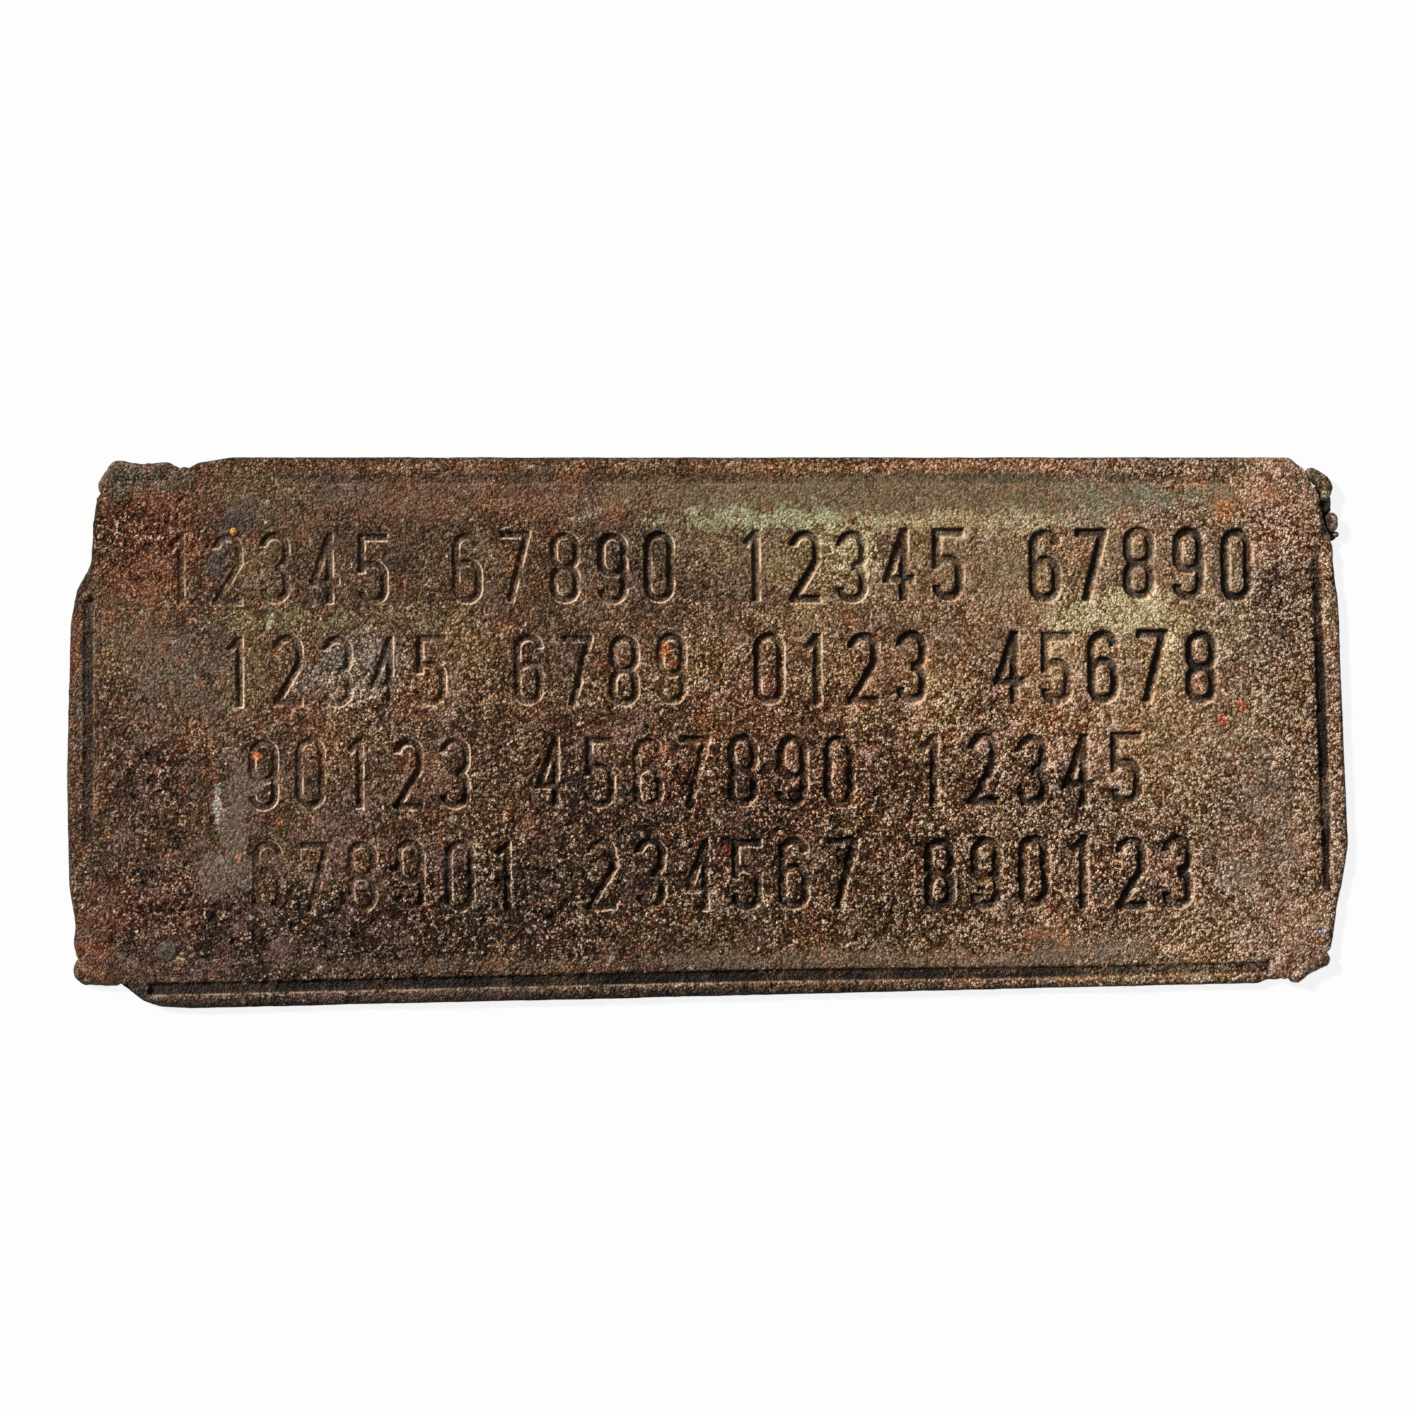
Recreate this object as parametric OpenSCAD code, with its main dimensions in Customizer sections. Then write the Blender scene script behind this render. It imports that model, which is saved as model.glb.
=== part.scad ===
// Rusted steel trust plate from the side of a railway car, lying on its back.
// The face is up. X runs along the plate, Y runs towards its top edge and Z comes out of the face.
// The plate was struck once: four rows of figures and a border line are sunk into its face.
// It was held by welds at its corners, and what was left of them is still there.
// The figures are plain numerals in counting order.

/* [Plate] */
// Overall length of the plate
plate_len = 452; // [430:1:520]
// Overall height of the plate, which it has near its left end
plate_height = 194.6; // [184:0.2:230]
// Thickness of the steel
plate_thick = 3.2; // [2.4:0.1:6]
// How much the bottom edge rises from its left end to its right end
bottom_rise = 8.9; // [0:0.1:14]

/* [Figures] */
// Height of a figure over its strokes
figure_height = 25.4; // [18:0.1:28]
// Width of a figure over its strokes
figure_width = 10.8; // [9:0.1:13]
// Width of a stroke
stroke_width = 2.8; // [1.6:0.1:3.2]
// Depth of a stroke
stroke_depth = 1.1; // [0.4:0.1:1.6]
// Distance from one figure to the next, and width of the space between two groups
figure_pitch = 16.9; // [15:0.1:17.5]
// Distance from one row to the next
row_pitch = 36.1; // [31:0.1:38]
// Distance from the top edge to the middle of the first row
first_row_drop = 38.8; // [28:0.1:42]
// Angle at which the rows rise to the right
row_tilt = 0.3; // [-0.6:0.1:0.6]
// How far a figure stands off its place, as it was set by hand
figure_wander = 0.4; // [0:0.1:0.8]

/* [Border line] */
// Distance from an edge to the middle of the border line
border_inset = 7.7; // [6:0.1:10]
// Width of the border line
border_width = 3.6; // [2:0.1:5]
// Depth of the border line
border_depth = 0.9; // [0.3:0.1:1.4]

/* [Weld remnants] */
// Height of the weld metal over the plate's face
weld_crown = 1.2; // [0.6:0.1:2.5]
// Radius of the free ball of spatter by the top right corner
spatter_radius = 1; // [0.8:0.1:1.4]
// Radius of the two small balls of spatter on the face
bead_radius = 1.3; // [0.8:0.1:2]
// Radius of the flat drop of spatter near the bottom left corner
drop_radius = 3.6; // [2:0.1:5]

/* [Hidden] */
$fn = 48;
weld_facets = 32;

// The four corners that the plate would have if nothing had been cut away.
left = -plate_len / 2;
right = plate_len / 2;
top = plate_height / 2;
bottom = -plate_height / 2;
bottom_right = bottom + bottom_rise;

// The plate's outline, clockwise from the left edge, as distances from the nearest corner.
left_edge_top = [[1.3, -59], [3.5, -47], [8.5, -38]];
top_left_cut = [[9.3, -22], [10.6, -14.8], [14.5, -10.3], [18.5, -6.3], [35, -5.8], [41.7, -4.6], [46, -2], [58, 0]];
top_right_cut = [[-21, 0], [-16.5, -3.6], [-14.8, -6.4], [-14.2, -8.7], [-12.4, -11.2]];
right_edge_top = [[-10.6, -12.9], [-9.5, -20.6], [-7.8, -26], [-5.3, -31.5], [-5.4, -36.4], [-3.6, -50.5]];
bottom_right_cut = [[-2.2, 35.3], [-3.9, 27.9], [-5, 16], [-6.5, 11.9], [-15.4, 5.7], [-24.8, 1], [-29, 1.4], [-31.5, 0]];
bottom_left_cut = [[44, 0], [33, 0.6], [27.3, 2.5], [24, 5], [20, 9.2], [12, 13], [4, 17.5], [2.2, 22.6]];
left_edge_bottom = [[2.9, 30], [2.2, 34.6], [0.8, 43]];

// Where the two short sides bulge furthest, as a height over the middle of the plate.
left_bulge = -15;
right_bulge = -40;

// Where the four runs of the border line start and end, as distances from the nearest corner along the run.
top_run = [74, 43];
bottom_run = [29, 29];
left_run = [59, 50];
right_run = [41, 32];
// How far the run at the right leans in at its upper end.
right_run_lean = 4.5;

// Groups of figures in each row, and how far the row's middle lies from the plate's.
rows = [
    [[5, 5, 5, 5], 0.2],
    [[5, 4, 4, 5], 4.6],
    [[5, 7, 5], -4.2],
    [[6, 6, 6], 5.5]
];

// The lines that a figure is drawn along run inside its outline by half a stroke.
line_width = figure_width - stroke_width;
line_height = figure_height - stroke_width;
bowl = line_width / 2;
waist = line_height / 2;

// The hanging drop at the top right, from the corner there. The neck ends on it and a ball hangs under it.
hang_top = [-6.2, -22];
hang_top_radius = 2.5;
hang_end = [-6, -24.4];
hang_end_radius = 2.3;
neck_radius = 1;
neck_end = beside(hang_top, 107, hang_top_radius + neck_radius);
ball_place = beside(hang_end, -62, hang_end_radius + spatter_radius);

face_height = plate_thick;
weld_height = plate_thick + weld_crown;
// A cut reaches this far past the surface that it opens.
cut_margin = 1;
steel_rust = "#5b4636";
weld_grey = "#6f6454";

// A place at a distance from another, in the direction of an angle.
function beside(place, angle, distance) = place + distance * [cos(angle), sin(angle)];
function from_corner(corner, steps) = [for (step = steps) corner + step];
function total(list, count) = count == 0 ? 0 : list[count - 1] + total(list, count - 1);
function figures_in(groups) = total(groups, len(groups));
function slots_in(groups) = figures_in(groups) + len(groups) - 1;
// Figures counted in all rows before this one.
function counted_before(row) = row == 0 ? 0 : figures_in(rows[row - 1][0]) + counted_before(row - 1);
// A small shift that looks hand set and is the same each time.
function wander(seed) = figure_wander * sin(seed * 97);

plate_outline = concat(
    [[left, left_bulge]],
    from_corner([left, top], left_edge_top),
    from_corner([left, top], top_left_cut),
    from_corner([right, top], top_right_cut),
    from_corner([right, top], right_edge_top),
    [[right, right_bulge]],
    from_corner([right, bottom_right], bottom_right_cut),
    from_corner([left, bottom], bottom_left_cut),
    from_corner([left, bottom], left_edge_bottom)
);

module plate_blank() {
    linear_extrude(height = plate_thick) polygon(plate_outline);
}

// A straight stroke between two points of the flat drawing.
module stroke(from, to, width = stroke_width) {
    run = to - from;
    length = norm(run);
    side = [-run.y, run.x] / length * width / 2;
    polygon([from + side, to + side, to - side, from - side]);
}

// A stroke that reaches past both its ends by half its width, to close a corner.
module long_stroke(from, to) {
    run = to - from;
    over = run / norm(run) * stroke_width / 2;
    stroke(from - over, to + over);
}

// A quarter turn of a bowl. The quarter is 0 at the upper right and goes on anticlockwise.
module quarter(centre, which) {
    translate(centre) rotate(which * 90) intersection() {
        difference() {
            circle(r = bowl + stroke_width / 2);
            circle(r = bowl - stroke_width / 2);
        }
        square(bowl + stroke_width);
    }
}

module upper_half_turn(centre) {
    quarter(centre, 0);
    quarter(centre, 1);
}

module lower_half_turn(centre) {
    quarter(centre, 2);
    quarter(centre, 3);
}

// A closed loop with straight sides between two heights.
module loop(low, high) {
    upper_half_turn([bowl, high - bowl]);
    lower_half_turn([bowl, low + bowl]);
    stroke([0, low + bowl], [0, high - bowl]);
    stroke([line_width, low + bowl], [line_width, high - bowl]);
}

module figure_0() {
    loop(0, line_height);
}

module figure_1() {
    long_stroke([bowl, 0], [bowl, line_height]);
    stroke([bowl, line_height], [0, line_height - bowl]);
}

module figure_2() {
    upper_half_turn([bowl, line_height - bowl]);
    stroke([line_width, line_height - bowl], [line_width, waist + bowl / 2]);
    long_stroke([line_width, waist + bowl / 2], [0, 0]);
    long_stroke([0, 0], [line_width, 0]);
}

module figure_3() {
    upper_half_turn([bowl, line_height - bowl]);
    stroke([line_width, waist + bowl], [line_width, line_height - bowl]);
    quarter([bowl, waist + bowl], 3);
    quarter([bowl, waist - bowl], 0);
    stroke([line_width, bowl], [line_width, waist - bowl]);
    lower_half_turn([bowl, bowl]);
}

module figure_4() {
    stem = line_width * 0.72;
    bar = line_height * 0.28;
    long_stroke([stem, 0], [stem, line_height]);
    long_stroke([0, bar], [line_width, bar]);
    stroke([stem, line_height], [0, bar]);
}

module figure_5() {
    long_stroke([0, line_height], [line_width, line_height]);
    long_stroke([0, waist], [0, line_height]);
    stroke([0, waist + bowl / 2], [bowl, waist + bowl / 2]);
    quarter([bowl, waist - bowl / 2], 0);
    stroke([line_width, bowl], [line_width, waist - bowl / 2]);
    lower_half_turn([bowl, bowl]);
}

module figure_6() {
    loop(0, waist + bowl / 2);
    stroke([0, waist], [0, line_height - bowl]);
    upper_half_turn([bowl, line_height - bowl]);
}

module figure_7() {
    long_stroke([0, line_height], [line_width, line_height]);
    long_stroke([line_width, line_height], [line_width * 0.3, 0]);
}

module figure_8() {
    loop(0, waist);
    loop(waist, line_height);
}

module figure_9() {
    translate([line_width, line_height]) rotate(180) figure_6();
}

module figure(value) {
    if (value == 0) figure_0();
    if (value == 1) figure_1();
    if (value == 2) figure_2();
    if (value == 3) figure_3();
    if (value == 4) figure_4();
    if (value == 5) figure_5();
    if (value == 6) figure_6();
    if (value == 7) figure_7();
    if (value == 8) figure_8();
    if (value == 9) figure_9();
}

// All figures of one row, centred on the row's middle.
module figure_row(row) {
    groups = rows[row][0];
    first = -figure_pitch * (slots_in(groups) - 1) / 2;
    for (group = [0 : len(groups) - 1]) {
        for (member = [0 : groups[group] - 1]) {
            index = total(groups, group) + member;
            count = counted_before(row) + index + 1;
            place = first + figure_pitch * (index + group);
            translate([place + wander(count), wander(count + 31)])
                translate([-line_width, -line_height] / 2)
                figure(count % 10);
        }
    }
}

module figure_cuts() {
    for (row = [0 : len(rows) - 1])
        translate([rows[row][1], top - first_row_drop - row * row_pitch, face_height - stroke_depth])
            rotate(row_tilt)
            linear_extrude(height = stroke_depth + cut_margin)
            figure_row(row);
}

// The border line follows the four edges and stops short of the corners, where the welds were.
module border_cuts() {
    upper = top - border_inset;
    lower_left = bottom + border_inset;
    lower_right = bottom_right + border_inset;
    left_line = left + border_inset;
    right_line = right - border_inset;
    leaning_line = right_line - right_run_lean;
    translate([0, 0, face_height - border_depth]) linear_extrude(height = border_depth + cut_margin) {
        stroke([left + top_run[0], upper], [right - top_run[1], upper], border_width);
        stroke([left + bottom_run[0], lower_left], [right - bottom_run[1], lower_right], border_width);
        stroke([left_line, bottom + left_run[0]], [left_line, top - left_run[1]], border_width);
        stroke([right_line, bottom + right_run[0]], [leaning_line, top - right_run[1]], border_width);
    }
}

// The struck plate: one sheet of steel with torch-cut corners.
module plate() {
    color(steel_rust) difference() {
        plate_blank();
        figure_cuts();
        border_cuts();
    }
}

// One low drop of weld metal, standing on the plane of the plate's back.
module drop(place, radius, height) {
    translate(place) intersection() {
        scale([1, 1, height / radius]) sphere(r = radius, $fn = weld_facets);
        linear_extrude(height = height) square(3 * radius, center = true);
    }
}

// A run of weld metal through a list of drops. Each is its place, its radius and its height.
module weld_run(corner, drops) {
    color(weld_grey) difference() {
        for (i = [0 : len(drops) - 2]) hull() {
            drop(corner + drops[i][0], drops[i][1], drops[i][2]);
            drop(corner + drops[i + 1][0], drops[i + 1][1], drops[i + 1][2]);
        }
        plate_blank();
    }
}

module weld_top_left() {
    weld_run([left, top], [
        [[14.8, -10.3], 3.9, weld_height - 0.2],
        [[18.4, -5.3], 4.1, weld_height],
        [[26.5, -6], 3.5, weld_height - 0.3],
        [[35, -5.6], 3.8, weld_height],
        [[39.5, -7.3], 2.8, weld_height - 0.4]
    ]);
}

// A bead that hooks round the corner and leaves a slit to the plate, with a thin neck below it.
module weld_top_right() {
    weld_run([right, top], [
        [[-13.2, -6], 2.2, weld_height - 0.4],
        [[-9.4, -8.4], 2.5, weld_height],
        [[-8, -10.7], 2.5, weld_height],
        [[-8, -13.7], 1.5, weld_height - 0.8],
        [neck_end, neck_radius, weld_height - 1.6]
    ]);
}

// The drop that the neck runs into.
module weld_top_right_drop() {
    weld_run([right, top], [
        [hang_top, hang_top_radius, weld_height],
        [hang_end, hang_end_radius, weld_height - 0.3]
    ]);
}

module weld_bottom_right() {
    weld_run([right, bottom_right], [
        [[-9.7, 8.8], 3.3, weld_height],
        [[-15.4, 5.8], 3, weld_height - 0.3],
        [[-18.6, 3], 2.8, weld_height]
    ]);
}

module weld_bottom_left() {
    weld_run([left, bottom], [
        [[7.4, 13.5], 5.2, weld_height],
        [[16, 12.3], 4.4, weld_height - 0.3]
    ]);
}

// Where spatter has frozen onto the face, from the two corners at the left.
first_bead = [7.5, -49.1];
second_bead = [59.4, -26.5];
face_drop = [36, 20.6];

// A drop of spatter that stands on the plate's face.
module face_ball(place, radius, height) {
    translate([place.x, place.y, face_height]) drop([0, 0], radius, height);
}

module weld_spatter() {
    color(weld_grey) {
        translate([right + ball_place.x, top + ball_place.y, spatter_radius]) sphere(r = spatter_radius);
        face_ball([left, top] + first_bead, bead_radius, bead_radius);
        face_ball([left, top] + second_bead, bead_radius, bead_radius);
        face_ball([left, bottom] + face_drop, drop_radius, weld_crown);
    }
}

plate();
weld_top_left();
weld_top_right();
weld_top_right_drop();
weld_bottom_right();
weld_bottom_left();
weld_spatter();
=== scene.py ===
import math
from collections import namedtuple

import bmesh
import bpy
import numpy as np
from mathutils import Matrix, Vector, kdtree


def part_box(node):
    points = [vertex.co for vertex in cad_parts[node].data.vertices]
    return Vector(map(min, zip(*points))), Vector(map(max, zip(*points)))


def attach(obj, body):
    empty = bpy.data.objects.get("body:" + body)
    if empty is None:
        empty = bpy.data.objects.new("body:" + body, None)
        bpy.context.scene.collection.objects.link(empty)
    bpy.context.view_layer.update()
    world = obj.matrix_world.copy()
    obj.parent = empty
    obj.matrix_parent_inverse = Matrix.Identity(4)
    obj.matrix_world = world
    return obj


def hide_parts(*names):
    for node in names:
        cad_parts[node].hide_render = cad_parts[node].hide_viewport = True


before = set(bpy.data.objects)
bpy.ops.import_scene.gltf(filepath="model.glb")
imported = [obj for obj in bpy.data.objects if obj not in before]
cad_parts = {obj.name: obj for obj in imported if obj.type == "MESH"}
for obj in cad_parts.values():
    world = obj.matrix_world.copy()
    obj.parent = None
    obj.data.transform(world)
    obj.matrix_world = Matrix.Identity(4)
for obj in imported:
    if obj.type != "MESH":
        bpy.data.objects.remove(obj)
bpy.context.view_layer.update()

# Lengths here are in millimetres and angles in degrees unless a comment says otherwise. MM turns
# millimetres into metres.
MM = 0.001

# The camera looks straight down at the face, and FRAME_WIDTH of the face's level fills the picture.
CAMERA_PLACE = (0.0, 8.95, 800.0)
FRAME_WIDTH = 497.8
SENSOR_WIDTH = 36.0

# The key light comes from the upper left and is low, which brings out the relief.
KEY_TURN = 145.0
KEY_HEIGHT = 26.0
KEY_SPREAD = 6.0
KEY_STRENGTH = 5.5
KEY_COLOUR = (1.0, 0.985, 0.96)
FILL_SPREAD = 60.0
FILL_STRENGTH = 0.15
WORLD_STRENGTH = 0.15

# The floor lies just under the plate. The camera sees this share of plain white in it.
FLOOR_SIZE = 6000.0
FLOOR_GAP = 0.02
FLOOR_COLOUR = 0.9
FLOOR_WHITE_SHARE = 0.87

# The plate's mesh: a grid over the face, finer at its edge, rings down the wall and a wider grid behind.
FACE_STEP = 0.5
EDGE_STEP = 0.14
STEP_GROWTH = 1.3
BACK_RATIO = 4
BACK_INSET = 1.1
# Each ring of the wall: its height as a share of the edge's, and how far in it lies.
WALL_RINGS = [(0.72, 0.0), (0.42, 0.05), (0.2, 0.0), (0.06, 0.14), (0.0, 0.42)]
WALL_UNEVEN = 0.12
# How close to a cut's rim a grid point is moved onto it, and how far away rims and the edge still count.
SNAP_REACH = 0.22
FIELD_REACH = 6.0
EDGE_REACH = 8.0
# Distances to the edge are measured to every fourth point of the outline, in pieces of this many of them.
OUTLINE_SKIP = 4
EDGE_PIECE = 24

# The plate's edge: its rounding, the shoulder that falls towards it, and the places where a weld joins it.
OUTLINE_EASING = 6
OUTLINE_WEAR = 0.65
EDGE_ROUNDING = 1.3
SHOULDER = 3.4
SHOULDER_DROP = 0.3
SEAM_REACH = 3.0
SEAM_SHIFT = 4.0

# The struck lines: cuts longer than a figure belong to the border line.
LONGEST_FIGURE = 60.0
FULL_DEPTH = 1.35
HALF_STROKE = 1.4
STROKE_WIDENED = 0.4
STROKE_RAGGED = 0.8
STROKE_LUCK = (0.82, 1.12)
LINE_WIDENED = 0.7
# The border line's painted shadow is softened by the first value below, and the second is how much of the
# rims' painted highlight it has.
LINE_SOFTNESS = 0.6
LINE_RIM = 0.35
FOOT_WIDENED = 1.3
FOOT_LOWERED = 1.2
# Some figures were struck twice, with a faint second stroke beside the first.
GHOST_SHARE = 0.4
GHOST_SHIFT = (1.7, -0.5)
GHOST_DEPTH = 0.17
# The cross section of each kind of line: its wall's width, the share of its depth that is a gentle dip
# outside the wall, and how far that dip reaches.
FIGURE_GROOVE = (0.55, 0.22, 1.3)
GHOST_GROOVE = (0.5, 0.2, 0.6)
LINE_GROOVE = (1.1, 0.25, 1.6)

# The rust's relief: how far apart grains, lumps, crumbs and pits lie, what share of the lumps and pits is
# there, and how high or deep they are. The face's warp and waves have a size and a height.
FACE_LOWERED = 0.1
WARP = (70, 0.16)
WAVES = (14, 0.09)
COARSE_SIZE = 1.9
COARSE_LIFT = 0.5
FINE_SIZE = 1.2
FINE_LIFT = 0.22
LUMP_SIZE = 3.4
LUMP_SHARE = 0.3
LUMP_LIFT = 0.28
CRUMB_SIZE = 3.4
CRUMB_LIFT = 0.25
PIT_SIZE = 5.2
PIT_SHARE = 0.12
PIT_DEPTH = 0.4
# Scale and smooth patches stand a little higher. Grains count from a mean, and their tops are cut off.
SCALE_LIFT = 0.07
SMOOTH_LIFT = 0.12
MEAN_LIFT = 0.18
HIGHEST_LIFT = 0.4
# One round dent at the right: its centre and half sizes.
DENT = ((197.7, -10.4), (2.2, 2.6))
DENT_DEPTH = 0.8

# Noise: its table's random values each way, how much weaker each finer layer is, what the sum of the layers
# is divided by, and the radius of a rounded grain as a share of its cell.
NOISE_TABLE = 256
FINER_WEIGHT = 0.55
NOISE_RANGE = 1.4
GRAIN_RADIUS = 0.72
# A distance that stands for out of reach.
FAR = 99.0


def colour(red, green, blue):
    """Linear colour from the values that a colour picker shows, 0 to 255."""
    picked = np.array([red, green, blue]) / 255
    return np.where(picked <= 0.04045, picked / 12.92, ((picked + 0.055) / 1.055) ** 2.4)


DARK_BROWN = colour(52, 38, 28)
MID_BROWN = colour(114, 87, 62)
OLIVE_BROWN = colour(120, 98, 64)
RED_BROWN = colour(122, 76, 48)
RUST = colour(142, 90, 52)
GREY_BROWN = colour(112, 98, 84)
TAN = colour(176, 142, 108)
PINK_TAN = colour(176, 144, 126)
ORANGE = colour(186, 108, 52)
RED_ORANGE = colour(184, 98, 68)
OLIVE = colour(134, 118, 82)
CREAM_GREEN = colour(214, 198, 152)
VERDIGRIS = colour(170, 170, 134)
TEAL = colour(122, 156, 144)
WARM_GREY = colour(118, 100, 84)
PALE_STEEL = colour(164, 146, 126)
SCALE_BROWN = colour(116, 88, 78)
PALE_GREY = colour(190, 180, 168)
BLUE_GREY = colour(66, 72, 76)
LILAC_GREY = colour(150, 150, 166)
YELLOW = colour(214, 156, 56)
# The rim colour below is a painted highlight on the rims that face the light, and the pale of worn rims
# where the marks are worn.
RIM_HIGHLIGHT_AND_WEAR = colour(216, 186, 158)
# The pale grain colour below is also the painted highlight on the lit crest of the border line at the foot.
PALE_GRAIN_AND_HIGHLIGHT = colour(206, 188, 170)
# The near black below serves black specks and is the darkest a tint may become. It is also the painted
# shadow in the strokes, in the border line and in the recess by the top right weld.
SPECK_AND_SHADOW_BLACK = colour(20, 12, 6)
PALE_CRUMB = colour(228, 206, 184)
ORANGE_TAN = TAN * 0.5 + ORANGE * 0.7

# What a redder grain multiplies its colour by.
RED_GRAIN = (1.06, 0.95, 0.88)

# A shown value is about a linear one to the power of 1 / SHOWN_POWER.
SHOWN_POWER = 2.2


def shown(tint):
    """Linear values as they are shown."""
    return tint ** (1 / SHOWN_POWER)


def relit(tint, shade):
    """Tints made lighter or darker by an equal step in red, green and blue as they are shown: light grains
    come out greyer, and the dark between them comes out warmer."""
    step = (shown(shade) - 1)[:, None] * shown(tint).mean(axis=1, keepdims=True)
    return np.clip(shown(tint) + step, shown(SPECK_AND_SHADOW_BLACK), shown(PALE_CRUMB)) ** SHOWN_POWER


def painted(tint, *coats):
    """Tints under coats of other colours, each coat with its share of every point."""
    for other, share in coats:
        tint = tint * (1 - share[:, None]) + other * share[:, None]
    return tint


# Noise

def unit(value):
    """A value kept between 0 and 1."""
    return np.clip(value, 0, 1)


def smooth(share):
    """Eases a share from 0 to 1 in and out."""
    share = unit(share)
    return share * share * (3 - 2 * share)


def cells_at(x, y, size, degrees):
    """Places on a turned grid with cells of a size, and the column and row of the cell that each is in."""
    angle = math.radians(degrees)
    across = (x / size) * math.cos(angle) + (y / size) * math.sin(angle)
    up = (y / size) * math.cos(angle) - (x / size) * math.sin(angle)
    return across, up, np.floor(across).astype(int), np.floor(up).astype(int)


def soft_noise(x, y, size, seed):
    """Smooth noise from -1 to 1 with bumps about size apart."""
    table = np.random.default_rng(seed).uniform(-1, 1, (NOISE_TABLE, NOISE_TABLE))
    across, up, column, row = cells_at(x, y, size, 31 * seed)
    share_x = smooth(across - column)
    share_y = smooth(up - row)
    corner = [
        table[(column + dx) % NOISE_TABLE, (row + dy) % NOISE_TABLE]
        for dx in (0, 1)
        for dy in (0, 1)
    ]
    low = corner[0] + share_x * (corner[2] - corner[0])
    high = corner[1] + share_x * (corner[3] - corner[1])
    return low + share_y * (high - low)


def noise(x, y, size, seed, layers=3):
    """Noise from about -1 to 1 with finer and weaker layers on top of each other."""
    total = 0
    weight = 1.0
    for layer in range(layers):
        total = total + weight * soft_noise(x, y, size / 2 ** layer, seed + 7 * layer)
        weight *= FINER_WEIGHT
    return total / NOISE_RANGE


def grains(x, y, size, seed):
    """Rounded grains about size apart: their height from 0 to 1, and a random number for each grain."""
    source = np.random.default_rng(seed)
    shift_x = source.random((NOISE_TABLE, NOISE_TABLE))
    shift_y = source.random((NOISE_TABLE, NOISE_TABLE))
    luck = source.random((NOISE_TABLE, NOISE_TABLE))
    across, up, column, row = cells_at(x, y, size, 17 * seed)
    nearest = np.full(across.shape, FAR)
    chosen = np.zeros(across.shape)
    for dx in (-1, 0, 1):
        for dy in (-1, 0, 1):
            cell = (column + dx) % NOISE_TABLE, (row + dy) % NOISE_TABLE
            distance = np.hypot(column + dx + shift_x[cell] - across, row + dy + shift_y[cell] - up)
            closer = distance < nearest
            nearest = np.where(closer, distance, nearest)
            chosen = np.where(closer, luck[cell], chosen)
    return unit(1 - (nearest / GRAIN_RADIUS) ** 2), chosen


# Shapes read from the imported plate

def threes(items, name, kind=float):
    """A value of each of a mesh's items that is made up of three numbers, in rows."""
    numbers = np.empty(len(items) * 3, dtype=kind)
    items.foreach_get(name, numbers)
    return numbers.reshape(-1, 3)


def packed_mesh(node):
    """The corners of a node, with doubles merged, and its triangles."""
    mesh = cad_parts[node].data
    mesh.calc_loop_triangles()
    rounded = np.round(threes(mesh.vertices, "co") / MM, 3)
    merged, where = np.unique(rounded, axis=0, return_inverse=True)
    return merged, where.ravel()[threes(mesh.loop_triangles, "vertices", np.int32)]


def open_edges(triangles):
    """The edges that only one of the triangles uses."""
    edges = np.concatenate([triangles[:, [0, 1]], triangles[:, [1, 2]], triangles[:, [2, 0]]])
    _, first, count = np.unique(np.sort(edges, axis=1), axis=0, return_index=True, return_counts=True)
    return edges[first[count == 1]]


def flat_faces(corners, triangles, low, high):
    """The level triangles between two heights."""
    heights = corners[triangles][:, :, 2]
    level = np.ptp(heights, axis=1) < 0.01
    return triangles[level & (heights[:, 0] > low) & (heights[:, 0] < high)]


def outline_loop(corners, triangles):
    """The plate's outline at its back, as points in order, anticlockwise."""
    following = {int(a): int(b) for a, b in open_edges(flat_faces(corners, triangles, -0.1, 0.1))}
    start = next(iter(following))
    order = [start]
    while following[order[-1]] != start:
        order.append(following[order[-1]])
    points = corners[order][:, :2]
    ahead = np.roll(points, -1, axis=0)
    area = (points[:, 0] * ahead[:, 1] - ahead[:, 0] * points[:, 1]).sum()
    return points if area > 0 else points[::-1]


def separate_outlines(corners, triangles):
    """The outline of each separate cut, as its line segments."""
    label = np.arange(len(corners))
    while True:
        lowest = label[triangles].min(axis=1)
        fresh = label.copy()
        for side in range(3):
            np.minimum.at(fresh, triangles[:, side], lowest)
        if (fresh == label).all():
            break
        label = fresh
    edges = open_edges(triangles)
    owner = label[edges[:, 0]]
    return [corners[edges[owner == one]][:, :, :2] for one in np.unique(owner)]


def is_figure(outline):
    """Whether a cut is a figure, and not a run of the border line."""
    return np.ptp(outline.reshape(-1, 2), axis=0).max() < LONGEST_FIGURE


def distance_to(points, segments):
    """Distance to a closed outline, negative inside it, and the nearest place on the outline."""
    start = segments[:, 0]
    run = segments[:, 1] - start
    offset = points[:, None] - start
    share = unit((offset * run).sum(-1) / (run * run).sum(-1))
    nearest = start + share[..., None] * run
    distance = np.linalg.norm(points[:, None] - nearest, axis=-1)
    best = distance.argmin(axis=1)
    place = np.arange(len(points))
    level = points[:, 1:2]
    crossing = (segments[:, 0, 1] > level) != (segments[:, 1, 1] > level)
    rise = np.where(run[:, 1] == 0, 1.0, run[:, 1])
    crossed_at = start[:, 0] + (level - start[:, 1]) * run[:, 0] / rise
    inside = (crossing & (points[:, :1] < crossed_at)).sum(axis=1) % 2 == 1
    return np.where(inside, -distance[place, best], distance[place, best]), nearest[place, best]


def near_each(outlines, points, reach):
    """For each outline: its number, the points in reach, their distances and their nearest places on it."""
    for number, outline in enumerate(outlines):
        low = outline.reshape(-1, 2).min(axis=0) - reach
        high = outline.reshape(-1, 2).max(axis=0) + reach
        chosen = np.flatnonzero(((points > low) & (points < high)).all(axis=1))
        if len(chosen):
            yield number, chosen, *distance_to(points[chosen], outline)


# For every point: the signed distance to the nearest outline, the nearest place on it, how far its wall
# faces the light there, and its strength.
Field = namedtuple("Field", "distance place lit strength")


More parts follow.
